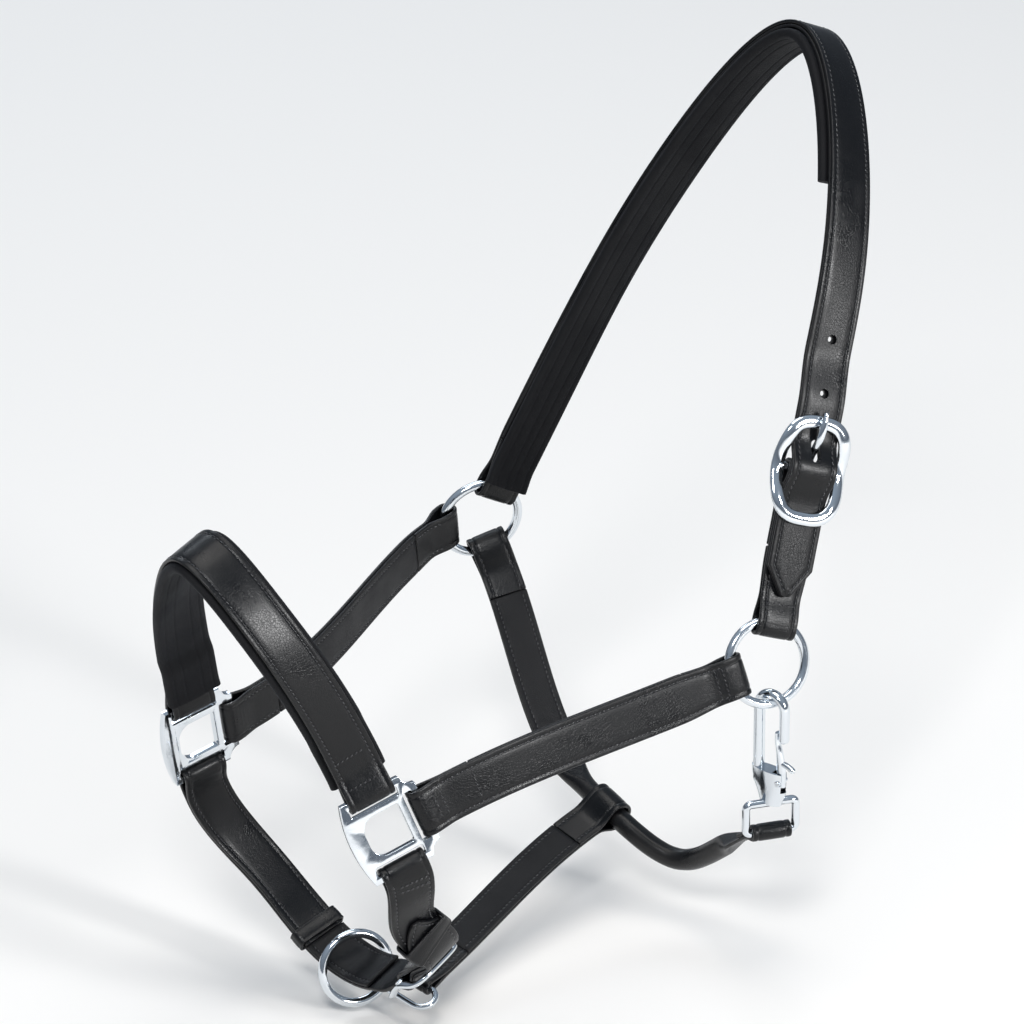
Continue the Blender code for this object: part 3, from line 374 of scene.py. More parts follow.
NEAR_RING = (np.array([0, -RING_HALF_WIDTH, 0.0]), unit((-0.28, -0.90, 0.32)), RING_RADIUS, RING_WIRE)
FAR_RING = (np.array([0, RING_HALF_WIDTH, 0.0]), unit((0.37, 0.92, 0.13)), RING_RADIUS, RING_WIRE)

FLARE = RING_HALF_WIDTH - SQUARE_HALF_WIDTH
DROP = CHEEK_LENGTH * sin(radians(CHEEK_DROP))
SQUARES = np.array([-sqrt(CHEEK_LENGTH ** 2 - FLARE ** 2 - DROP ** 2), 0, -DROP])


def square_frame(middle, rear, up, side):
    """Middle of a halter square, its rearward and upward directions, and its outer face."""
    rear = unit(rear)
    up = unit(np.cross(np.cross(rear, up), rear))
    return middle, rear, up, np.cross(rear, up) * side


# The far square hangs a little lower and further out than the near one
NEAR_SQUARE = square_frame(SQUARES + OUT_NEAR * SQUARE_HALF_WIDTH, (0.907, -0.277, 0.317),
                           (-0.22, 0.33, 0.92), 1)
FAR_SQUARE = square_frame(SQUARES - OUT_NEAR * SQUARE_HALF_WIDTH + np.array([-5.7, 2.6, -3.7]),
                          (0.98, -0.107, 0.166), (-0.18, -0.06, 0.98), -1)


def square_hold(square, rearward, upward, strap_end):
    """Loop on an outer bar of a halter square, toward its rear or up or down."""
    middle, rear, up, out = square
    way = rear * rearward + up * upward
    return bar_hold(middle, way, np.cross(way, out), out, strap_end, SQUARE_REACH, SQUARE_WRAP)


def crown_run():
    flat = np.cross(UP_CROWN, OUT_NEAR)
    low_side, high_side = (UP_CROWN * CROWN_RISE * rise - OUT_NEAR * RING_HALF_WIDTH * side
                           for rise, side in (CROWN_LOW, CROWN_HIGH))
    start = ring_hold(FAR_RING, low_side - FAR_RING[0], 1, LOOP_WIDTH)
    way = unit(mirrored(low_side) - NEAR_RING[0])
    end = ring_hold(NEAR_RING, way, -1, LOOP_WIDTH)
    straight = end.origin + way * np.linalg.norm(mirrored(low_side) - NEAR_RING[0])
    near_side = mirrored(high_side) + OUT_NEAR * NEAR_BULGE
    return Run(start, end, [(low_side, flat, None), (high_side, flat, None), (CROWN_TOP, flat, None),
                            (near_side, unit(flat + OUT_NEAR * NEAR_TURN), None),
                            (straight, end.across, -way)])


# ---------------------------------------------------------------- materials

def node_tree(name, base, roughness, metallic=0.0):
    made = bpy.data.materials.new(name)
    made.use_nodes = True
    tree = made.node_tree
    shader = tree.nodes["Principled BSDF"]
    settle(shader, {"Base Color": (*base, 1), "Roughness": roughness, "Metallic": metallic})
    return made, tree, shader


def settle(node, values):
    for key, value in values.items():
        node.inputs[key].default_value = value


def add(tree, kind, inputs=None, **settings):
    """A node with its settings, input values and links to its inputs."""
    node = tree.nodes.new(kind)
    for key, value in settings.items():
        setattr(node, key, value)
    for key, value in (inputs or {}).items():
        if isinstance(value, bpy.types.NodeSocket):
            tree.links.new(value, node.inputs[key])
        else:
            node.inputs[key].default_value = value
    return node


def spread(tree, value, low, high, from_low=0.35, from_high=0.65):
    """Takes a noise's middle values to the range low..high."""
    node = add(tree, "ShaderNodeMapRange", {"Value": value, "From Min": from_low, "From Max": from_high,
                                            "To Min": low, "To Max": high})
    return node.outputs["Result"]


def product(tree, one, two):
    return add(tree, "ShaderNodeMath", {0: one, 1: two}, operation="MULTIPLY").outputs[0]


def leather(name, dark, light, gloss, grain, depth, coat, sheen, shine):
    """Dyed leather: pebbled grain, creases where it bends, paler rubbed edges, uneven finish."""
    made, tree, shader = node_tree(name, dark, gloss)
    place = add(tree, "ShaderNodeTexCoord").outputs["Object"]
    strap = add(tree, "ShaderNodeUVMap", uv_map="strap").outputs["UV"]
    edge = add(tree, "ShaderNodeAttribute", attribute_name="edge").outputs["Fac"]
    bent = add(tree, "ShaderNodeAttribute", attribute_name="bent").outputs["Fac"]
    cells = add(tree, "ShaderNodeTexVoronoi", {"Vector": place, "Scale": grain, "Randomness": 1.0},
                feature="DISTANCE_TO_EDGE").outputs["Distance"]
    pores = add(tree, "ShaderNodeTexNoise", {"Vector": place, "Scale": grain * 1.9, "Detail": 4.0})
    cloudy = add(tree, "ShaderNodeTexNoise", {"Vector": place, "Scale": 45.0, "Detail": 3.0})
    stretched = add(tree, "ShaderNodeMapping", {"Vector": strap, "Scale": (520.0, 60.0, 1.0)})
    creases = add(tree, "ShaderNodeTexNoise", {"Vector": stretched.outputs[0], "Scale": 1.0, "Detail": 3.0})
    rub = product(tree, edge, spread(tree, cloudy.outputs["Fac"], 0.15, 1.0))
    colour = add(tree, "ShaderNodeMix", {"Factor": rub, 6: (*dark, 1), 7: (*light, 1)}, data_type="RGBA")
    tree.links.new(colour.outputs[2], shader.inputs["Base Color"])
    uneven = spread(tree, cloudy.outputs["Fac"], gloss - 0.06, gloss + 0.09)
    tree.links.new(uneven, shader.inputs["Roughness"])
    first = add(tree, "ShaderNodeBump", {"Height": spread(tree, cells, 0.0, 1.0, 0.0, 0.12),
                                         "Strength": depth, "Distance": 0.00025})
    second = add(tree, "ShaderNodeBump", {"Height": pores.outputs["Fac"], "Strength": depth * 0.8,
                                          "Distance": 0.0002, "Normal": first.outputs[0]})
    wrinkle = product(tree, bent, creases.outputs["Fac"])
    third = add(tree, "ShaderNodeBump", {"Height": wrinkle, "Strength": 0.5, "Distance": 0.0008,
                                         "Normal": second.outputs[0]})
    tree.links.new(third.outputs[0], shader.inputs["Normal"])
    settle(shader, {"Specular IOR Level": shine, "Coat Weight": coat, "Coat Roughness": 0.22,
                    "Sheen Weight": sheen, "Sheen Roughness": 0.45, "Sheen Tint": (0.72, 0.80, 0.95, 1)})
    return made


def thread_look():
    made, tree, shader = node_tree("waxed_thread", (0.03, 0.03, 0.034), 0.3)
    place = add(tree, "ShaderNodeTexCoord").outputs["Object"]
    fibres = add(tree, "ShaderNodeTexNoise", {"Vector": place, "Scale": 2600.0, "Detail": 2.0})
    tone = add(tree, "ShaderNodeValToRGB", {"Fac": fibres.outputs["Fac"]})
    tone.color_ramp.elements[0].color = (0.005, 0.005, 0.006, 1)
    tone.color_ramp.elements[1].color = (0.03, 0.03, 0.034, 1)
    tree.links.new(tone.outputs[0], shader.inputs["Base Color"])
    bump = add(tree, "ShaderNodeBump", {"Height": fibres.outputs["Fac"], "Strength": 0.5, "Distance": 0.0002})
    tree.links.new(bump.outputs[0], shader.inputs["Normal"])
    settle(shader, {"Coat Weight": 0.5, "Coat Roughness": 0.15})
    return made


def chrome_look():
    """Bright plating with hairline scratches and a slightly uneven polish."""
    made, tree, shader = node_tree("bright_plating", (0.74, 0.78, 0.82), 0.1, 1.0)
    place = add(tree, "ShaderNodeTexCoord").outputs["Object"]
    cloudy = add(tree, "ShaderNodeTexNoise", {"Vector": place, "Scale": 130.0, "Detail": 3.0})
    stretched = add(tree, "ShaderNodeMapping", {"Vector": place, "Scale": (300.0, 2600.0, 900.0)})
    hairs = add(tree, "ShaderNodeTexNoise", {"Vector": stretched.outputs[0], "Scale": 1.0, "Detail": 2.0})
    tree.links.new(spread(tree, cloudy.outputs["Fac"], 0.05, 0.15), shader.inputs["Roughness"])
    first = add(tree, "ShaderNodeBump", {"Height": cloudy.outputs["Fac"], "Strength": 0.1,
                                         "Distance": 0.0006})
    second = add(tree, "ShaderNodeBump", {"Height": hairs.outputs["Fac"], "Strength": 0.05,
                                          "Distance": 0.0001, "Normal": first.outputs[0]})
    tree.links.new(second.outputs[0], shader.inputs["Normal"])
    return made


LOOKS = {
    "leather": leather("black_leather", (0.0028, 0.0030, 0.0038), (0.018, 0.017, 0.017), 0.31, 750.0, 0.2,
                       0.1, 0.008, 0.26),
    "lining": leather("lining_leather", (0.0045, 0.0045, 0.0055), (0.02, 0.019, 0.019), 0.44, 1100.0, 0.28,
                      0.0, 0.02, 0.24),
    "suede": leather("padding_cover", (0.0045, 0.0045, 0.0055), (0.011, 0.011, 0.012), 0.7, 1300.0, 0.4,
                     0.0, 0.05, 0.15),
    "thread": thread_look(),
    "chrome": chrome_look(),
}


# ---------------------------------------------------------------- meshes

def linked(name, data):
    obj = bpy.data.objects.new(name, data)
    bpy.context.scene.collection.objects.link(obj)
    return obj


def write_mesh(name, verts, faces, look, body, strap=None, edge=None, bent=None, sharp=50):
    """Object in metres from points in millimetres, with its strap coordinates and wear marks."""
    mesh = bpy.data.meshes.new(name)
    mesh.from_pydata((np.asarray(verts, float) - POLL) * MM, [], faces)
    if strap is not None:
        layer = mesh.uv_layers.new(name="strap")
        corners = np.zeros(len(mesh.loops), int)
        mesh.loops.foreach_get("vertex_index", corners)
        layer.data.foreach_set("uv", (np.asarray(strap, float) * MM)[corners].ravel())
    for label, values in (("edge", edge), ("bent", bent)):
        if values is not None:
            mark = mesh.attributes.new(label, "FLOAT", "POINT")
            mark.data.foreach_set("value", np.asarray(values, float))
    bm = bmesh.new()
    bm.from_mesh(mesh)
    bmesh.ops.recalc_face_normals(bm, faces=bm.faces)
    bm.to_mesh(mesh)
    bm.free()
    mesh.shade_smooth()
    mesh.set_sharp_from_angle(angle=radians(sharp))
    obj = linked(name, mesh)
    if look:
        mesh.materials.append(LOOKS[look])
        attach(obj, body)
    return obj


def skin(rings, closed=False):
    """Points and faces of a skin over equal rings, capped unless it closes on itself."""
    count = len(rings[0])
    verts = [point for ring in rings for point in ring]
    faces = []
    for k in range(len(rings) if closed else len(rings) - 1):
        a, b = k * count, (k + 1) % len(rings) * count
        for i in range(count):
            j = (i + 1) % count
            faces.append((a + i, a + j, b + j, b + i))
    if not closed:
        faces.append(tuple(range(count))[::-1])
        faces.append(tuple(range((len(rings) - 1) * count, len(rings) * count)))
    return verts, faces


def merged(shapes):
    """Several point and face lists as one."""
    verts, faces = [], []
    for more_verts, more_faces in shapes:
        start = len(verts)
        verts += list(more_verts)
        faces += [tuple(start + i for i in face) for face in more_faces]
    return verts, faces


def smooth_path(points, closed=False, steps=5):
    """Catmull-Rom curve through the points."""
    points = [np.asarray(point, float) for point in points]
    count = len(points)
    path = []
    for i in range(count if closed else count - 1):
        if closed:
            p = [points[(i + k) % count] for k in (-1, 0, 1, 2)]
        else:
            p = [points[min(max(i + k, 0), count - 1)] for k in (-1, 0, 1, 2)]
        for x in np.arange(steps) / steps:
            path.append(0.5 * (2 * p[1] + (p[2] - p[0]) * x + (2 * p[0] - 5 * p[1] + 4 * p[2] - p[3]) * x ** 2
                               + (3 * p[1] - p[0] - 3 * p[2] + p[3]) * x ** 3))
    if not closed:
        path.append(points[-1])
    return path


def tube(path, side, rise, up, closed=False, sides=24, flat_back=False, round_ends=False):
    """Oval bar along a path: side and rise are its half sizes across and along up."""
    count = len(path)
    rings = []
    for i, point in enumerate(path):
        before = path[i - 1] if i or closed else point
        after = path[(i + 1) % count] if i < count - 1 or closed else point
        along = unit(after - before)
        across = unit(np.cross(along, up))
        lift = np.cross(across, along)
        x = i / (count - 1)
        size = (side(x) if callable(side) else side, rise(x) if callable(rise) else rise)
        ring = []
        for k in range(sides):
            angle = 2 * pi * k / sides
            height = sin(angle)
            if flat_back and height < 0:
                height = -0.85 * abs(height) ** 0.4
            ring.append(point + across * size[0] * cos(angle) + lift * size[1] * height)
        rings.append(ring)
    if round_ends and not closed:
        for end, inner in ((0, 1), (-1, -2)):
            middle = np.mean(rings[end], axis=0)
            way = unit(middle - np.mean(rings[inner], axis=0))
            radius = np.linalg.norm(np.array(rings[end][0]) - middle)
            caps = [[middle + (p - middle) * cos(a) + way * radius * sin(a) for p in rings[end]]
                    for a in np.radians((25, 50, 72, 86))]
            rings = caps[::-1] + rings if end == 0 else rings + caps
    return skin(rings, closed)


def rod(start, end, radius, sides=32):
    way = unit(end - start)
    side = np.cross(way, (0.3, 0.5, 0.8))
    return tube([start, start + (end - start) * 0.5, end], radius, radius, side, sides=sides)


def baked(obj, pieces, operation):
    """obj after exact Booleans with the pieces, which are removed."""
    for piece in pieces:
        modifier = obj.modifiers.new("cut", "BOOLEAN")
        modifier.operation = operation
        modifier.object = piece
    bpy.context.view_layer.update()
    mesh = bpy.data.meshes.new_from_object(obj.evaluated_get(bpy.context.evaluated_depsgraph_get()))
    obj.modifiers.clear()
    obj.data = mesh
    for piece in pieces:
        bpy.data.objects.remove(piece)


def refinish(obj, sharp=50):
    obj.data.shade_smooth()
    obj.data.set_sharp_from_angle(angle=radians(sharp))


def cutter(shape):
    verts, faces = shape
    return write_mesh("cutter", verts, faces, None, None)


def metal(name, body, shape, node=None, sharp=50):
    verts, faces = shape
    obj = write_mesh(name + "_plated", verts, faces, "chrome", body, sharp=sharp)
    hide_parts(node or name)
    return obj


# ---------------------------------------------------------------- leather

STATION = 2.5               # between cross-sections
PAD_NEAR_RING = 6.0         # the soft cover reaches closer to the fittings than its firm core
PAD_NEAR_SQUARE = 9.0
FOLD_STEPS = 18
STITCH_INSET = 3.0          # rows of stitches from the strap's edges
ROW_STEP = 0.8              # between the points of a row
STITCH_PITCH = 2.7
STITCH_LENGTH = 2.0
STITCH_RADIUS = 0.42
STITCH_SUNK = 0.42          # of its ends below its middle
GROOVE_DEPTH = 0.3
GROOVE_WIDTH = 0.62
CORNER = 0.7


class Layer:
    """A layer of leather over part of a run, looped back where it has folds.

    low is the height of its underside; grooves are the stitch lines' insets on its outer face,
    back_grooves those on the face toward the horse.
    """

    def __init__(self, run, span, thickness=STRAP, width=STRAP_WIDTH, low=HALF_GAP, folds=(None, None),
                 returns=(RETURN, RETURN), middle=0.0, corner=CORNER, grooves=(STITCH_INSET,),
                 back_grooves=(), crown=0.12, back_crown=0.0, bead=0.0):
        self.run = run
        self.span = span
        self.folds = folds
        self.returns = returns
        self.thickness, self.width, self.low, self.middle, self.corner = (
            value if callable(value) else (lambda s, value=value: value)
            for value in (thickness, width, low, middle, corner))
        self.grooves = grooves
        self.back_grooves = back_grooves
        self.crown = crown
        self.back_crown = back_crown
        self.bead = bead

    def lift(self, s):
        return self.low(s) + sum(fold.opening(s) for fold in self.folds if fold)

    def relief(self, v, half, grooves, crown, bead=0.0):
        """Height of a face over its plane: crowned, sunk along the stitch lines, beaded edges."""
        height = crown * (1 - (v / half) ** 2)
        for inset in grooves:
            height -= GROOVE_DEPTH * exp(-((abs(v) - half + min(inset, 0.9 * half)) / GROOVE_WIDTH) ** 2)
        return height + bead * exp(-((abs(v) - half + 1.5) / 0.9) ** 2)

    def section(self, s):
        """Points (v, height in mm, wear) round the layer, starting on the inner face."""
        half = self.width(s) / 2
        thick = self.thickness(s)
        r = min(self.corner(s), thick / 2, half)
        flat = half - r
        spots = [flat * share for share in (0.0, 0.25, 0.5, 0.75, 1.0)]
        for inset in sorted(set(self.grooves) | set(self.back_grooves)):
            spots += [min(max(half - inset + d, 0.0), flat) for d in (-1.1, -0.6, -0.25, 0, 0.25, 0.6, 1.1)]
        if self.bead:
            spots += [flat - d for d in (0.4, 1.0, 1.6, 2.2)]
        spots = sorted(spots)
        across = [-v for v in reversed(spots)] + spots[1:]
        under = [(v, -self.relief(v, half, self.back_grooves, self.back_crown), 0.0) for v in across]
        over = [(v, thick + self.relief(v, half, self.grooves, self.crown, self.bead), 0.0)
                for v in reversed(across)]
        low_end, high_end = under[-1][1], over[0][1]
        side = []
        for a in np.radians((22, 45, 68)):
            side.append((flat + r * sin(a), low_end + r * (1 - cos(a)), sin(2 * a)))
        side.append((half, (low_end + r + high_end - r) / 2, 0.25))
        for a in np.radians((68, 45, 22)):
            side.append((flat + r * sin(a), high_end - r * (1 - cos(a)), sin(2 * a)))
        other = [(-v, n, wear) for v, n, wear in reversed(side)]
        return under + side + over + other

    def level(self, s, way):
        lift = self.lift(s)
        under = self.middle(s) + way * lift
        return s, under, s, under + way * self.thickness(s)

    def turn(self, fold):
        rows = []
        outer = fold.radius + self.thickness(fold.at)
        middle = self.middle(fold.at)
        for angle in np.linspace(-pi / 2, pi / 2, FOLD_STEPS)[1:-1] * fold.toward:
            rows.append((fold.at - fold.toward * fold.radius * cos(angle), middle + fold.radius * sin(angle),
                         fold.at - fold.toward * outer * cos(angle), middle + outer * sin(angle)))
        return rows

    def rows(self):
        def even(a, b):
            return [float(s) for s in np.linspace(a, b, max(2, int(abs(b - a) / STATION) + 1))]
        first, last = self.folds
        start, end = self.span
        rows = []
        if first:
            rows += [self.level(s, -1) for s in even(start + self.returns[0], start)] + self.turn(first)
        rows += [self.level(s, 1) for s in even(start, end)]
        if last:
            rows += self.turn(last) + [self.level(s, -1) for s in even(end, end - self.returns[1])]
        return rows

    def build(self, name, look, body="straps", node=None):
        rings, strap, edge, bent = [], [], [], []
        rows = self.rows()
        rows = [rows[0]] + rows + [rows[-1]]
        for k, (s_in, n_in, s_out, n_out) in enumerate(rows):
            thick = self.thickness(s_in)
            half = self.width(s_in) / 2
            at_end = k in (0, len(rows) - 1)
            shrink_v = 1 - 0.6 / half if at_end else 1.0
            shrink_n = 1 - 0.9 / thick if at_end else 1.0
            tuck = 0.4 if k in (1, len(rows) - 2) else 0.0
            inward = tuck * (1 if s_in < (self.span[0] + self.span[1]) / 2 else -1)
            if self.folds[0 if k == 1 else 1]:
                inward = -inward
            near = min([abs(s_in - fold.at) for fold in self.folds if fold] or [99.0])
            ring = []
            for v, n, wear in self.section(s_in):
                depth = 0.5 + (n / thick - 0.5) * shrink_n
                ring.append(self.run.place(s_in + (s_out - s_in) * depth + inward, v * shrink_v,
                                           n_in + (n_out - n_in) * depth))
                strap.append((s_in, v))
                edge.append(1.0 if at_end else wear)
                bent.append(exp(-near / 9.0))
            rings.append(ring)
        verts, faces = skin(rings)
        obj = write_mesh(name + "_cut_leather", verts, faces, look, body, strap, edge, bent)
        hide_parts(node or name)
        return obj

    def face(self, s, v, side):
        """Place of a stitch on the outer, inner or return face, and the way out of that face."""
        half = self.width(s) / 2
        thick = self.thickness(s)
        if side == "inner":
            sunk = self.relief(v, half, self.back_grooves, self.back_crown)
            return self.middle(s) + self.lift(s) - sunk, -1
        way = 1 if side == "outer" else -1
        rise = self.lift(s) + thick + self.relief(v, half, self.grooves, self.crown)
        return self.middle(s) + way * rise, way

    def edge_rows(self, a, b):
        return [[(s, sign * max(self.width(s) / 2 - STITCH_INSET, 0.0)) for s in np.arange(a, b, ROW_STEP)]
                for sign in (-1, 1)]

    def cross_rows(self, *places):
        rows = []
        for s in places:
            reach = self.width(s) / 2 - STITCH_INSET
            rows.append([(s, v) for v in np.arange(-reach, reach + 0.1, ROW_STEP)])
        return rows


def stitches(name, groups, body="straps"):
    """Thread showing along rows; groups are (layer, side, rows of (s, v))."""
    shapes = []
    for layer, side, rows in groups:
        for row in rows:
            row = np.array(row)
            steps = np.r_[0, np.cumsum(np.hypot(*np.diff(row, axis=0).T))]
            starts = np.arange(0.4, steps[-1] - STITCH_LENGTH, STITCH_PITCH)
            for start in starts:
                rings = []
                for part, size in ((0.0, 0.25), (0.12, 0.75), (0.5, 1.0), (0.88, 0.75), (1.0, 0.25)):
                    at = start + part * STITCH_LENGTH
                    s, v = (float(np.interp(at, steps, row[:, k])) for k in (0, 1))
                    step = np.interp([at - 0.3, at + 0.3], steps, row[:, 0])
                    slip = np.interp([at - 0.3, at + 0.3], steps, row[:, 1])
                    way = unit((step[1] - step[0], slip[1] - slip[0]))
                    slant = (part - 0.5) * 0.5
                    s, v = s - way[1] * slant, v + way[0] * slant
                    n, out = layer.face(s, v, side)
                    sunk = STITCH_SUNK * (2 * part - 1) ** 2
                    ring = []
                    for k in range(8):
                        a = 2 * pi * k / 8
                        off = STITCH_RADIUS * size * cos(a)
                        ring.append(layer.run.place(s - way[1] * off, v + way[0] * off,
                                                    n + out * (0.16 - sunk + STITCH_RADIUS * size * sin(a))))
                    rings.append(ring)
                shapes.append(skin(rings))
    verts, faces = merged(shapes)
    return write_mesh(name + "_stitches", verts, faces, "thread", body)


def keeper(name, body, run, at, length, half, low, high):
    """Leather band round a stack of straps, with rounded edges and a groove along each."""
    slack = 2 * GAP
    bottom, top = low - slack, high + slack
    half = half + slack
    corner = KEEPER_CORNER
    path = []
    for v, n, start in ((half, top, 0), (-half, top, 90), (-half, bottom, 180), (half, bottom, 270)):
        v_mid = v - corner * (1 if v > 0 else -1)
        n_mid = n - corner * (1 if n == top else -1)
        for angle in np.linspace(start, start + 90, 7):
            path.append((v_mid, n_mid, cos(radians(angle)), sin(radians(angle))))
    longer = []
    for k, place in enumerate(path):
        longer.append(place)
        if k % 7 == 6:
            after = path[(k + 1) % len(path)]
            for x in (0.25, 0.5, 0.75):
                longer.append(tuple(p + (q - p) * x for p, q in zip(place, after)))
    inner, outer = corner, corner + KEEPER_THICKNESS
    profile = [(inner, x, 0.0) for x in (-0.88, -0.5, 0.0, 0.5, 0.88)]
    profile += [(inner + 0.3, 1.0, 0.6), (outer - 0.4, 1.0, 0.6), (outer - 0.08, 0.93, 1.0),
                (outer, 0.85, 0.2), (outer - 0.22, 0.68, 0), (outer, 0.52, 0), (outer + 0.08, 0.0, 0), (outer, -0.52, 0),
                (outer - 0.22, -0.68, 0), (outer, -0.85, 0.2), (outer - 0.08, -0.93, 1.0),
                (outer - 0.4, -1.0, 0.6), (inner + 0.3, -1.0, 0.6)]
    rings, strap, edge = [], [], []
    for v, n, v_way, n_way in longer:
        rings.append([run.place(at + end * length / 2, v + v_way * reach, n + n_way * reach)
                      for reach, end, wear in profile])
        strap += [(end * length / 2, v + n) for reach, end, wear in profile]
        edge += [wear for reach, end, wear in profile]
    verts, faces = skin(rings, closed=True)
    obj = write_mesh(name + "_cut_leather", verts, faces, "leather", body, strap, edge,
                     [0.15] * len(verts))
    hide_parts(name)


# ---------------------------------------------------------------- metal

def round_ring(name, body, ring):
    centre, axis, radius, wire = ring
    side = unit(np.cross(axis, (0.3, 0.1, 1)))
    rise = np.cross(axis, side)
    path = [centre + radius * (side * cos(a) + rise * sin(a)) for a in np.linspace(0, 2 * pi, 97)[:-1]]
    metal(name, body, tube(path, wire, wire, axis, True))


def prism(place, outline, low, high):
    """Straight-sided solid on an outline in the x-y plane of a place (origin, x, y, z)."""
    origin, x, y, z = place
    return skin([[origin + x * u + y * v + z * n for u, v in outline] for n in (low, high)])


def halter_square(name, place, slot_half):
    """Flat casting: window, three outer bars behind slots, hollow corners, curved nose side."""
    inner = SQUARE_WINDOW + SQUARE_BAR
    slot_top = inner + SQUARE_SLOT
    outer = slot_top + SQUARE_BAR
    bar_end = slot_half + SQUARE_BAR_END
    hollow = outer - bar_end + 0.5
    corner = outer + 0.5
    turn = np.degrees(np.arcsin(0.5 / hollow))
    bulge = SQUARE_BULGE
    bow = (outer ** 2 + bulge ** 2) / (2 * bulge)
    sweep = np.degrees(np.arcsin(outer / bow))
    outline = arc(corner, corner, hollow, 270 - turn, 180 + turn, 10)
    outline += arc(bow - bulge - bar_end, 0, bow, 180 - sweep, 180 + sweep, 18)
    outline += arc(corner, -corner, hollow, 180 - turn, 90 + turn, 10)
    verts, faces = prism(place, outline, -SQUARE_THICKNESS / 2, SQUARE_THICKNESS / 2)
    obj = write_mesh(name + "_plated", verts, faces, "chrome", "straps")
    window = SQUARE_WINDOW
    tight = (SQUARE_CORNER,) * 4
    openings = (rounded_box(-window, window, -window, window, (1.5, 8, 8, 1.5), 10),
                rounded_box(-slot_half, slot_half, inner, slot_top, tight, 4),
                rounded_box(-slot_half, slot_half, -slot_top, -inner, tight, 4),
                rounded_box(inner, slot_top, -slot_half, slot_half, tight, 4))
    baked(obj, [cutter(prism(place, shape, -5, 5)) for shape in openings], "DIFFERENCE")
    bevel = obj.modifiers.new("rounded", "BEVEL")
    bevel.width = 1.25 * MM
    bevel.segments = 4
    bevel.limit_method = "ANGLE"
    bevel.angle_limit = radians(40)
    baked(obj, [], "DIFFERENCE")
    refinish(obj, 60)
    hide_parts(name)


def buckle_metal(name, tongue_body, run, at, buckle):
    """Oval half-round frame with its ends raised over the straps, centre bar, and tongue."""
    point, along, across, outward = run.frame(at)
    end_height = frame_height(buckle)
    path = []
    for k in range(96):
        angle = 2 * pi * k / 96
        x, y = (np.sign(f) * abs(f) ** (2 / buckle["oval"]) for f in (cos(angle), sin(angle)))
        height = buckle["set_back"] + (end_height - buckle["set_back"]) * ease(abs(y) / 0.8)
        path.append(point + across * buckle["half_width"] * x + along * buckle["half_length"] * y
                    + outward * height)
    middle = point + outward * buckle["set_back"]
    side = across * buckle["half_width"]
    shapes = [tube(path, buckle["bar_width"], buckle["bar_height"], outward, True, 24, flat_back=True),
              rod(middle - side, middle + side, buckle["centre_bar"])]
    metal(name + "_frame", "straps", merged(shapes))

    eye_radius = buckle["centre_bar"] + GAP + TONGUE_EYE
    eye = [middle + eye_radius * (along * cos(a) + outward * sin(a)) for a in np.linspace(0, 2 * pi, 41)[:-1]]
    thick = buckle["tongue"]
    rest = end_height + buckle["bar_height"] + GAP + thick - buckle["set_back"]
    end = buckle["half_length"]
    shank = [(eye_radius - 0.3, 0), *buckle["shank"], (end, rest), (end + TONGUE_BEYOND, rest - 0.2)]
    line = smooth_path([middle - along * s + outward * n for s, n in shank])
    shapes = [tube(eye, TONGUE_EYE, thick, across, True, 16),
              tube(line, lambda x: thick * (1 - 0.35 * ease((x - 0.8) / 0.2)), thick * 0.9, outward,
                   sides=20, round_ends=True)]
    metal(name + "_tongue", tongue_body, merged(shapes))


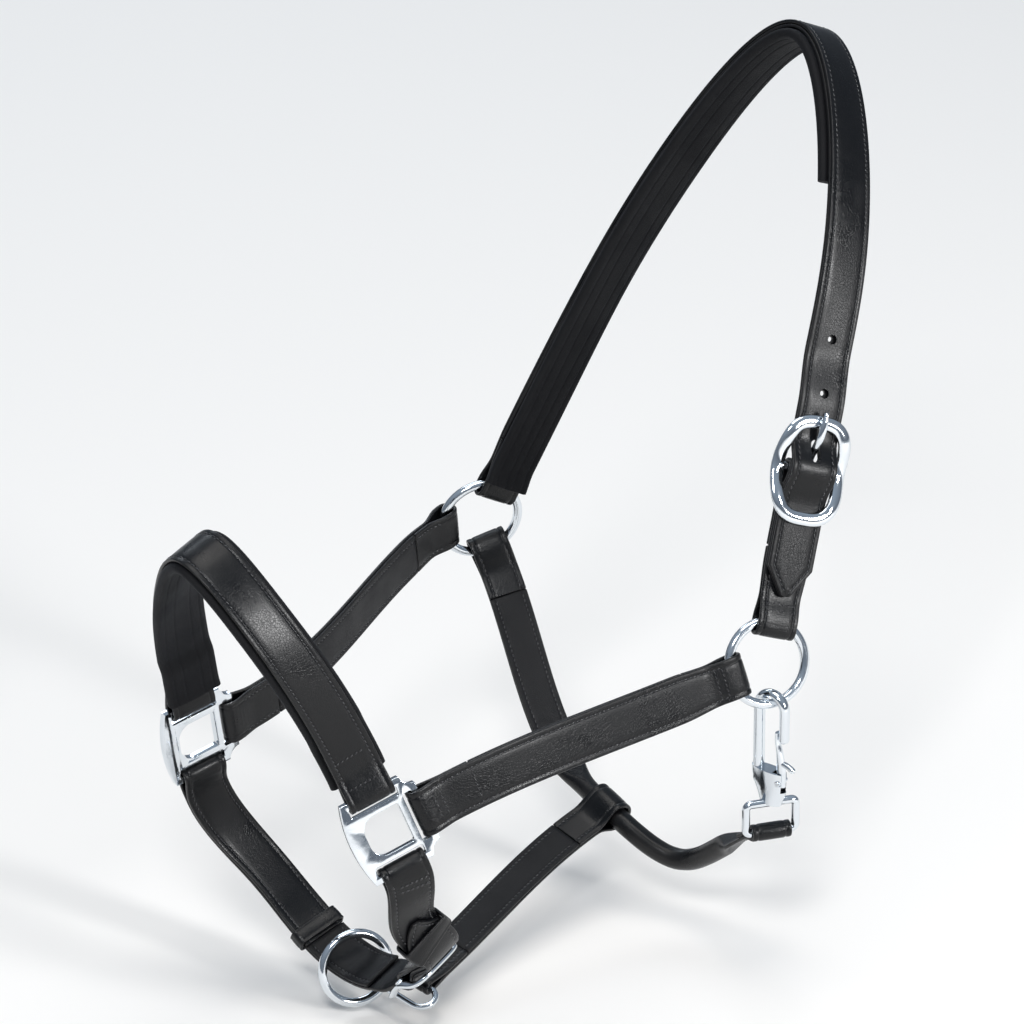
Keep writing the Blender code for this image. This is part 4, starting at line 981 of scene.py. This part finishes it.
def trigger_snap(contact, hook_way, eye_way):
    """Snap hook: hook over the ring, shank, strap eye, sprung gate on a pin."""
    up = np.array([0.0, 0.0, 1.0])
    deep = np.cross(up, hook_way)

    def spot(x, z, y=0.0):
        return contact + hook_way * x + up * z + deep * y

    hook_radius = SNAP_HOOK_RADIUS
    crest = RING_WIRE + GAP + SNAP_HOOK_TOP - hook_radius
    hook = [spot(-hook_radius, z) for z in (-46, -35, -25, -12)]
    hook += [spot(x, z) for x, z in arc(0, crest, hook_radius, 180, 0, 14)]
    hook += [spot(hook_radius, -8), spot(hook_radius, -14), spot(hook_radius, SNAP_NOSE + 1.5)]
    verts, faces = tube(smooth_path(hook, steps=3), lambda x: 3.1 - 0.6 * ease(x / 0.6), 3.0, deep,
                        sides=28, round_ends=True)
    body = write_mesh("snap_body_plated", verts, faces, "chrome", "straps")
    block = smooth_path([spot(*place) for place in ((-1, -38.6), (-1, -40), (-0.7, -44), (0, -50),
                                                    (0, -55), (0, -58))])
    rim = rounded_box(-SNAP_EYE, SNAP_EYE, SNAP_BAR, SNAP_BAR + 17, (2.5, 2.5, 2.5, 2.5), 8)
    rim = [contact + eye_way * u + up * v for u, v in rim]
    slot = rounded_box(2.2, 14, -49.5, -36, (1, 1, 1, 1), 4)
    pin = spot(*SNAP_PIVOT, -6), spot(*SNAP_PIVOT, 6)
    baked(body, [cutter(tube(block, lambda x: 11.0 - 4.5 * ease((x - 0.3) / 0.7), 4.2, deep, sides=40)),
                 cutter(tube(rim, SNAP_WIRE, SNAP_WIRE, np.cross(eye_way, up), True, 20))], "UNION")
    side = np.cross(hook_way, up)
    baked(body, [cutter(prism((contact, hook_way, up, side), slot, -2.4, 2.4)),
                 cutter(rod(*pin, SNAP_PIN + GAP))], "DIFFERENCE")
    refinish(body, 38)
    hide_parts("snap_body")

    x, z = SNAP_PIVOT
    line = smooth_path([spot(*place) for place in ((x, z - 2.4), (x, -40), (x, -36), (5.2, -27),
                                                   (3.9, -21), (3.8, -15.5))])
    lug = smooth_path([spot(*place) for place in ((6, -33), (10, -33.5), (13.5, -35))])
    shapes = [tube(line, lambda x: 2.7 - 1.6 * ease((x - 0.3) / 0.5), 2.0, deep, sides=20),
              tube(lug, 1.5, 1.7, deep, sides=16, round_ends=True)]
    metal("snap_gate", "gate", merged(shapes))
    half = SNAP_PIN_LENGTH / 2
    metal("snap_gate_pin", "straps", rod(spot(*SNAP_PIVOT, -half), spot(*SNAP_PIVOT, half), SNAP_PIN))


# ---------------------------------------------------------------- the straps

def tongue_hole(run, centre, buckle):
    """Hole in use, pulled long by the tongue."""
    near, far = buckle["slot"]
    half = buckle["tongue"] + TONGUE_CLEARANCE
    shape = rounded_box(-far, -near, -half, half, (half - 0.1,) * 4, 8)
    return cutter(prism(run.frame(centre), shape, -4, 20))


def chape(name, run, centre, buckle, width, rows):
    """Short doubled strap from the buckle's centre bar to the run's end fitting."""
    bar = buckle_fold(buckle, centre)
    half = (run.end.at - centre) / 2 - GAP
    layer = Layer(run, (centre, run.end.at), folds=(bar, run.end), returns=(half, half), width=width,
                  middle=lambda s: chape_middle(buckle, s - centre))
    obj = layer.build(name, "leather")
    slot_half = buckle["tongue"] + TONGUE_CLEARANCE
    shape = rounded_box(*CHAPE_SLOT, -slot_half, slot_half, (slot_half - 0.1,) * 4, 6)
    baked(obj, [cutter(prism(run.frame(centre), shape, -8, 14))], "DIFFERENCE")
    refinish(obj)
    edge = layer.edge_rows(centre + 10, run.end.at - 5)
    cross = layer.cross_rows(*(run.end.at - back for back in rows))
    stitches(name, [(layer, side, part) for part in (edge, cross) for side in ("outer", "return")])


def crown():
    """Crown strap whose near end is the billet, its lining, the poll padding, chape and buckle."""
    run = crown_run()
    buckle = CROWN_BUCKLE
    centre = run.length - buckle["from_ring"]
    top_bar = centre - buckle["half_length"]
    ramp_start = top_bar - RAMP_END - RAMP

    def under(s):
        base = -HALF_GAP - LINING
        raised = HALF_GAP + STRAP + GAP
        ramp = ease((s - ramp_start) / RAMP)
        hump = chape_height(buckle, s - centre) - HALF_GAP - STRAP
        return base + (raised - base) * ramp + hump * (s > top_bar - 1)

    tip = centre + buckle["tip"]

    def width(s):
        end = 1 - max(0.0, s - (tip - TIP_LENGTH)) / TIP_LENGTH
        return TIP_WIDTH + (narrowed([run.start])(s) - TIP_WIDTH) * end

    back = run.start.at + RETURN
    strap = Layer(run, (run.start.at, tip), width=width, folds=(run.start, None),
                  low=lambda s: under(s) + LINING + GAP)
    lining = Layer(run, (back + GAP, tip), thickness=LINING, width=width, low=under, grooves=(),
                   back_grooves=(STITCH_INSET,), crown=0.0)
    top = strap.build("crown_strap", "leather")
    base = lining.build("crown_lining", "lining")
    for obj, diameter in ((top, HOLE_DIAMETER), (base, LINING_HOLE)):
        holes = [tongue_hole(run, centre, buckle)]
        for k in HOLES_FREE:
            at = centre - HOLE_IN_USE - k * HOLE_PITCH
            holes.append(cutter(rod(run.place(at, 0, -9), run.place(at, 0, 14), diameter / 2)))
        baked(obj, holes, "DIFFERENCE")
        refinish(obj)
    pad_end = centre - CROWN_PAD_END
    tip_end = tip - 1.5
    stitches("crown_strap", [(strap, "outer", strap.edge_rows(back - 22, tip_end)),
                             (strap, "outer", strap.cross_rows(back - 4, back - 22)),
                             (lining, "inner", lining.edge_rows(pad_end + 3, tip_end)),
                             (strap, "return", strap.edge_rows(run.start.at + 6, back - 1))])
    pad_start = run.start.at + PAD_NEAR_RING
    padding("crown_padding", run, (pad_start, pad_end),
            lambda s: -HALF_GAP - STRAP - 2 * GAP - PAD - run.start.opening(s),
            lambda s: PAD_END_WIDTH + (PAD_WIDTH - PAD_END_WIDTH) * ease((s - pad_start) / PAD_TAPER))
    chape("crown_chape", run, centre, buckle, narrowed([run.end]), (9, 12.5))
    buckle_metal("crown_buckle", "crown_tongue", run, centre, buckle)


def padding(name, run, span, low, width=PAD_WIDTH, bead=0.0):
    """Soft pad: rounded rolled edges, and two sewn channels along the face toward the horse."""
    layer = Layer(run, span, thickness=PAD, width=width, low=low, corner=2.3, grooves=(),
                  back_grooves=(4.4, 10.4), crown=0.0, back_crown=0.7, bead=bead)
    obj = layer.build(name, "suede")


def lining_between(name, run, width=STRAP_WIDTH, span=None):
    span = span or (run.start.at + RETURN + GAP, run.end.at - RETURN - GAP)
    layer = Layer(run, span, thickness=LINING, low=-HALF_GAP - LINING, width=width, grooves=(),
                  back_grooves=(STITCH_INSET,), crown=0.0)
    layer.build(name, "lining")
    return layer


def cheek(side, ring, square):
    """Cheekpiece looped on the ring and on the square's rear bar, with a lining between the ends."""
    start = ring_hold(ring, square[0] - ring[0], 1, LOOP_WIDTH)
    end = square_hold(square, 1, 0, -1)
    run = Run(start, end, [])
    width = narrowed([run.start])
    strap = Layer(run, (run.start.at, run.end.at), folds=(run.start, run.end), width=width)
    strap.build(side + "_cheek_strap", "leather")
    lining = lining_between(side + "_cheek_lining", run, width)
    first, last = run.start.at, run.end.at
    stitches(side + "_cheek", [
        (strap, "outer", strap.edge_rows(first + 9, last - 7)),
        (strap, "outer", strap.cross_rows(first + 9, first + 13, last - 7, last - 11, last - RETURN)),
        (strap, "return", strap.edge_rows(first + 9, first + RETURN - 1)),
        (strap, "return", strap.edge_rows(last - RETURN + 1, last - 7)),
        (lining, "inner", lining.edge_rows(first + RETURN + 2, last - RETURN - 2))])


def noseband():
    flat = np.cross(UP_NOSE, OUT_NEAR)
    rise, side = NOSE_SHOULDER
    shoulder = SQUARES + UP_NOSE * NOSE_RISE * rise - OUT_NEAR * SQUARE_HALF_WIDTH * side
    start = square_hold(FAR_SQUARE, 0, 1, 1)
    end = square_hold(NEAR_SQUARE, 0, 1, -1)
    run = Run(start, end, [(shoulder, flat, None), (SQUARES + UP_NOSE * NOSE_RISE, flat, None),
                           (mirrored(shoulder), flat, None)])
    pad_first, pad_last = run.start.at + RETURN + 2, run.end.at - RETURN - 2

    def under(s):
        ends = max(1 - ease((s - pad_first) / PAD_RISE), 1 - ease((pad_last - s) / PAD_RISE))
        return -PAD - GAP - (STRAP + GAP) * ends - run.start.opening(s) - run.end.opening(s)

    first, last = run.start.at, run.end.at
    strap = Layer(run, (first, last), folds=(run.start, run.end))
    strap.build("noseband_strap", "leather")
    padding("noseband_padding", run, (first + PAD_NEAR_SQUARE, last - PAD_NEAR_SQUARE), under, bead=0.5)
    stitches("noseband", [(strap, "outer", strap.edge_rows(first + 7, last - 7)),
                          (strap, "outer", strap.cross_rows(first + 8, last - 8, first + 24, last - 24)),
                          (strap, "return", strap.edge_rows(first + 7, first + 16)),
                          (strap, "return", strap.edge_rows(last - 16, last - 7))])


def chin_run():
    """From the far square below the jaw to the near square, straight at the buckle."""
    start = square_hold(FAR_SQUARE, 0, -1, 1)
    end = square_hold(NEAR_SQUARE, 0, -1, -1)
    low = SQUARES - np.array([0, 0, CHIN_DROP])
    way = unit((-0.03, -0.75, 0.60))
    buckle = low + np.array([35, -50, 12.5])
    below = across_for(way, (0.31, -0.58, -0.72))
    straight = way * (CHIN_BUCKLE["half_length"] + 3.5)
    off_side = low + np.array([24, 56, 26]), across_for((0.1, -0.5, -0.8), (0, 0.85, -0.5)), None
    under_jaw = low + np.array([34, 10, -7.0]), across_for((0.05, -0.99, 0.02), (0.28, 0, -0.96)), None
    near_side = low + np.array([17, -73, 50]), across_for((-0.35, -0.2, 0.9), (-0.05, -0.97, -0.2)), None
    run = Run(start, end, [off_side, under_jaw, (buckle - straight, below, way),
                           (buckle + straight, below, way), near_side])
    return run, run.nearest(buckle)


def chin():
    """Chin strap whose near end is the billet, its lining, the chape, two keepers, buckle and ring."""
    run, centre = chin_run()
    buckle = CHIN_BUCKLE
    ring_bar = centre - buckle["half_length"]
    ramp_start = ring_bar - CHIN_RAMP_END - CHIN_RAMP

    def under(s):
        raised = STRAP + GAP
        hump = chape_height(buckle, s - centre) - HALF_GAP - STRAP
        return HALF_GAP + raised * ease((s - ramp_start) / CHIN_RAMP) + hump * (s > ring_bar - 1)

    tip = centre + buckle["tip"]

    def width(s):
        end = 1 - max(0.0, s - (tip - TIP_LENGTH)) / TIP_LENGTH
        return TIP_WIDTH + (STRAP_WIDTH - TIP_WIDTH) * end

    at_ring = centre - CHIN_RING_AT
    fold_end = at_ring - CHIN_RETURN_AT
    near_keeper = centre + NEAR_KEEPER_AT
    strap = Layer(run, (run.start.at, tip), width=width, folds=(run.start, None),
                  returns=(fold_end - run.start.at, 0), low=under)
    obj = strap.build("off_chin_strap", "leather")
    baked(obj, [tongue_hole(run, centre, buckle)], "DIFFERENCE")
    refinish(obj)
    lining = lining_between("chin_lining", run, span=(fold_end + GAP, ramp_start - 1))
    stitches("off_chin_strap", [
        (strap, "outer", strap.edge_rows(run.start.at + 6, tip - 1.5)),
        (strap, "outer", strap.cross_rows(run.start.at + 7, run.start.at + 11)),
        (strap, "return", strap.edge_rows(run.start.at + 7, fold_end - 1)),
        (lining, "inner", lining.edge_rows(fold_end + 2, ramp_start - 2))])
    chape("near_chin_chape", run, centre, buckle, lambda s: STRAP_WIDTH, (8, 11.5))
    buckle_metal("chin_buckle", "chin_tongue", run, centre, buckle)
    half = STRAP_WIDTH / 2
    keeper("chin_keeper", "chin_loop", run, fold_end - CHIN_KEEPER_AT, CHIN_KEEPER_LENGTH, half,
           -HALF_GAP - STRAP, HALF_GAP + STRAP)
    keeper("near_keeper", "near_loop", run, near_keeper, NEAR_KEEPER_LENGTH, half, -HALF_GAP - STRAP,
           HALF_GAP + 2 * STRAP + GAP)

    point, _, _, outward = run.frame(at_ring)
    axis = unit((-0.30, -0.92, 0.25))
    clear = CHIN_RING_RADIUS - CHIN_RING_WIRE
    hang = sqrt(clear ** 2 - half ** 2) - HALF_GAP - LINING - GAP - 2.8
    hanging = unit(outward - axis * np.dot(outward, axis))
    ring = (point + hanging * hang, axis, CHIN_RING_RADIUS, CHIN_RING_WIRE)
    round_ring("chin_ring", "lead_ring", ring)
    return ring


THROAT_WAY = unit((0, -1, -0.3))


def throat_point():
    return np.array([THROAT_BACK, 0, -THROAT_DROP])


def jaw(ring):
    """Oblong link on the chin ring, and the jaw strap from it to the throatlatch."""
    centre, axis, radius, wire = ring
    rear = unit(np.array([1.0, 0, 0]) - axis * axis[0])
    down = np.cross(rear, axis)
    down = down if down[2] < 0 else -down
    touch = centre + radius * (rear * cos(radians(30)) + down * sin(radians(30)))
    half_length = LINK_STRAIGHT / 2 + LINK_HALF_WIDTH
    way = unit(throat_point() - touch - np.array([3, -12, 0]))
    length = np.array([0.235, -0.962, -0.15])
    length = unit(length - way * np.dot(length, way))
    middle = touch + length * (half_length - LINK_WIRE - wire - 1.4)
    normal = np.cross(length, way)
    path = rounded_box(-half_length, half_length, -LINK_HALF_WIDTH, LINK_HALF_WIDTH,
                       (LINK_HALF_WIDTH - 0.01,) * 4, 12)
    metal("chin_link", "straps", tube([middle + length * u + way * v for u, v in path], LINK_WIRE, LINK_WIRE,
                                      normal, True, 20))

    shift = length * (LINK_STRAIGHT - JAW_WIDTH) / 2
    below = np.array([0.25, 0, -0.97])
    start = bar_hold(middle + shift, way, length, below, 1, LINK_HALF_WIDTH, LINK_WIRE)
    back = unit(middle - throat_point() + np.array([0, 0, -8]))
    end = bar_hold(throat_point(), back, THROAT_WAY, below, -1, 0.0, ROLL_DIAMETER / 2 + GAP)
    run = Run(start, end, [])
    first, last = run.start.at, run.end.at
    strap = Layer(run, (first, last), folds=(run.start, run.end), width=JAW_WIDTH)
    strap.build("jaw_strap", "leather")
    lining = lining_between("jaw_lining", run, JAW_WIDTH)
    stitches("jaw", [(strap, "outer", strap.edge_rows(first + 7, last - 13)),
                     (strap, "outer", strap.cross_rows(first + 8, last - 13)),
                     (strap, "return", strap.edge_rows(first + 7, first + RETURN - 1)),
                     (strap, "return", strap.edge_rows(last - RETURN + 1, last - 13)),
                     (lining, "inner", lining.edge_rows(first + RETURN + 2, last - RETURN - 2))])


def throat():
    """Snap on the near ring and the throatlatch: flat at its ends, rolled in the middle."""
    centre, axis, radius, _ = NEAR_RING
    down = unit(axis * axis[2] - np.array([0, 0, 1.0]))
    contact = centre + down * radius
    turn = radians(-80)
    eye_way = unit((0.9, -0.42, 0))
    trigger_snap(contact, np.array([cos(turn), sin(turn), 0]), eye_way)

    eye_bar = contact + np.array([0, 0, SNAP_BAR])
    point = throat_point()
    start = ring_hold(FAR_RING, point - FAR_RING[0], 1, LOOP_WIDTH)
    away = unit((0.357, 0.765, -0.52))
    end = bar_hold(eye_bar, away, eye_way, (0.2, -0.5, -0.8), -1, 0.0, SNAP_WIRE)
    across = across_for(THROAT_WAY, (0.2, 0, -0.97))
    held = THROAT_WAY * (JAW_WIDTH / 2 + 1)
    run = Run(start, end, [(point - held, across, THROAT_WAY), (point + held, across, THROAT_WAY),
                           (np.array([2, -40, -THROAT_DROP - 18]), across, None),
                           (np.array([6, -78, -THROAT_DROP + 5]), across, None)])
    roll_start = run.nearest(point) - ROLL_BEFORE
    roll_end = run.end.at - ROLL_AFTER

    def rolled(s):
        return ease((s - roll_start) / ROLL_IN) * ease((roll_end - s) / ROLL_OUT)

    size = ROLL_DIAMETER * cos(pi / 8)
    first, last = run.start.at, run.end.at
    strap = Layer(run, (first, last), folds=(run.start, run.end), returns=(RETURN, SNAP_RETURN),
                  thickness=lambda s: STRAP + (size - STRAP) * rolled(s),
                  low=lambda s: HALF_GAP - (HALF_GAP + size / 2) * rolled(s),
                  width=lambda s: LOOP_WIDTH - 1 + (size - LOOP_WIDTH + 1) * rolled(s),
                  corner=lambda s: CORNER + (size / 2 - CORNER) * rolled(s))
    strap.build("throatlatch", "leather")
    lining = lining_between("throatlatch_lining", run, LOOP_WIDTH - 1, (first + RETURN + GAP, roll_start - 2))
    stitches("throatlatch", [
        (strap, "outer", strap.edge_rows(first + 7, roll_start + 10)),
        (strap, "outer", strap.cross_rows(first + 8, first + 12, last - 9)),
        (strap, "outer", strap.edge_rows(roll_end - 4, last - 7)),
        (strap, "return", strap.edge_rows(first + 7, first + RETURN - 1)),
        (strap, "return", strap.edge_rows(last - SNAP_RETURN + 1, last - 7)),
        (lining, "inner", lining.edge_rows(first + RETURN + 2, roll_start - 3))])


# ---------------------------------------------------------------- studio

FLOOR_REACH = 12.0          # metres
FLOOR_BELOW = 0.004
PICTURE = 1024
FOCAL = 5326.0              # in picture widths / PICTURE
CAMERA_DISTANCE = 2812.0
AZIMUTH, ELEVATION = radians(-42), radians(27)
AIM = (-107.6, 76.3)        # from the rings' middle to the picture's middle, in PICTURE units


def camera():
    """At the viewing angle, turned a little so that the object sits in the frame."""
    right = np.array([cos(AZIMUTH), sin(AZIMUTH), 0])
    back = np.array([sin(AZIMUTH) * cos(ELEVATION), -cos(AZIMUTH) * cos(ELEVATION), sin(ELEVATION)])
    up = np.cross(back, right)
    way = unit(-back * FOCAL + right * AIM[0] + up * AIM[1])
    side = unit(right - way * np.dot(right, way))
    rise = np.cross(side, way)
    place = (back * CAMERA_DISTANCE - POLL) * MM
    data = bpy.data.cameras.new("camera")
    data.sensor_width = 36.0
    data.lens = 36.0 * FOCAL / PICTURE
    obj = linked("camera", data)
    rows = np.array([side, rise, -way]).T
    obj.matrix_world = Matrix([[*rows[k], place[k]] for k in range(3)] + [[0, 0, 0, 1]])
    bpy.context.scene.camera = obj


def lamp(name, place, size, power, colour=(1, 1, 1)):
    data = bpy.data.lights.new(name, "AREA")
    data.shape = "RECTANGLE"
    data.size, data.size_y = size
    data.energy = power
    data.color = colour
    obj = linked(name, data)
    obj.location = place
    middle = Vector((-0.2, 0, -0.22))
    obj.rotation_euler = (middle - Vector(place)).to_track_quat("-Z", "Y").to_euler()


def studio():
    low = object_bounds()[0][2] - FLOOR_BELOW
    mesh = bpy.data.meshes.new("floor")
    corners = ((-1, -1), (1, -1), (1, 1), (-1, 1))
    mesh.from_pydata([(x * FLOOR_REACH, y * FLOOR_REACH, low) for x, y in corners], [], [(0, 1, 2, 3)])
    floor = linked("floor", mesh)
    mesh.materials.append(node_tree("pale_floor", (0.93, 0.9, 0.865), 0.8)[0])
    world = bpy.data.worlds.new("soft_studio")
    bpy.context.scene.world = world
    world.use_nodes = True
    tree = world.node_tree
    sky = tree.nodes["Background"]
    way = add(tree, "ShaderNodeTexCoord").outputs["Generated"]
    height = add(tree, "ShaderNodeSeparateXYZ", {"Vector": way}).outputs["Z"]
    tone = add(tree, "ShaderNodeValToRGB", {"Fac": height})
    for stop, place, colour in zip(tone.color_ramp.elements, (0.0, 0.9),
                                   ((0.30, 0.34, 0.40, 1), (0.62, 0.74, 0.88, 1))):
        stop.position = place
        stop.color = colour
    tree.links.new(tone.outputs[0], sky.inputs["Color"])
    sky.inputs["Strength"].default_value = 0.5
    lamp("key", (-1.9, -1.5, 2.2), (0.8, 0.7), 42)
    lamp("side", (0.25, -2.5, 0.7), (0.3, 0.8), 40)
    lamp("back", (0.8, 2.2, 1.5), (1.6, 0.7), 14, (0.88, 0.94, 1.0))
    lamp("top", (-0.2, 0.0, 3.2), (2.0, 2.0), 42, (1.0, 0.96, 0.91))
    bpy.context.scene.view_settings.view_transform = "Standard"


camera()
crown()
round_ring("near_upper_ring", "near_ring", NEAR_RING)
round_ring("far_upper_ring", "far_ring", FAR_RING)
cheek("near", NEAR_RING, NEAR_SQUARE)
cheek("far", FAR_RING, FAR_SQUARE)
halter_square("near_square", NEAR_SQUARE, STRAP_WIDTH / 2 + SLOT_CLEARANCE)
halter_square("far_square", FAR_SQUARE, STRAP_WIDTH / 2 + SLOT_CLEARANCE)
noseband()
jaw(chin())
throat()
studio()
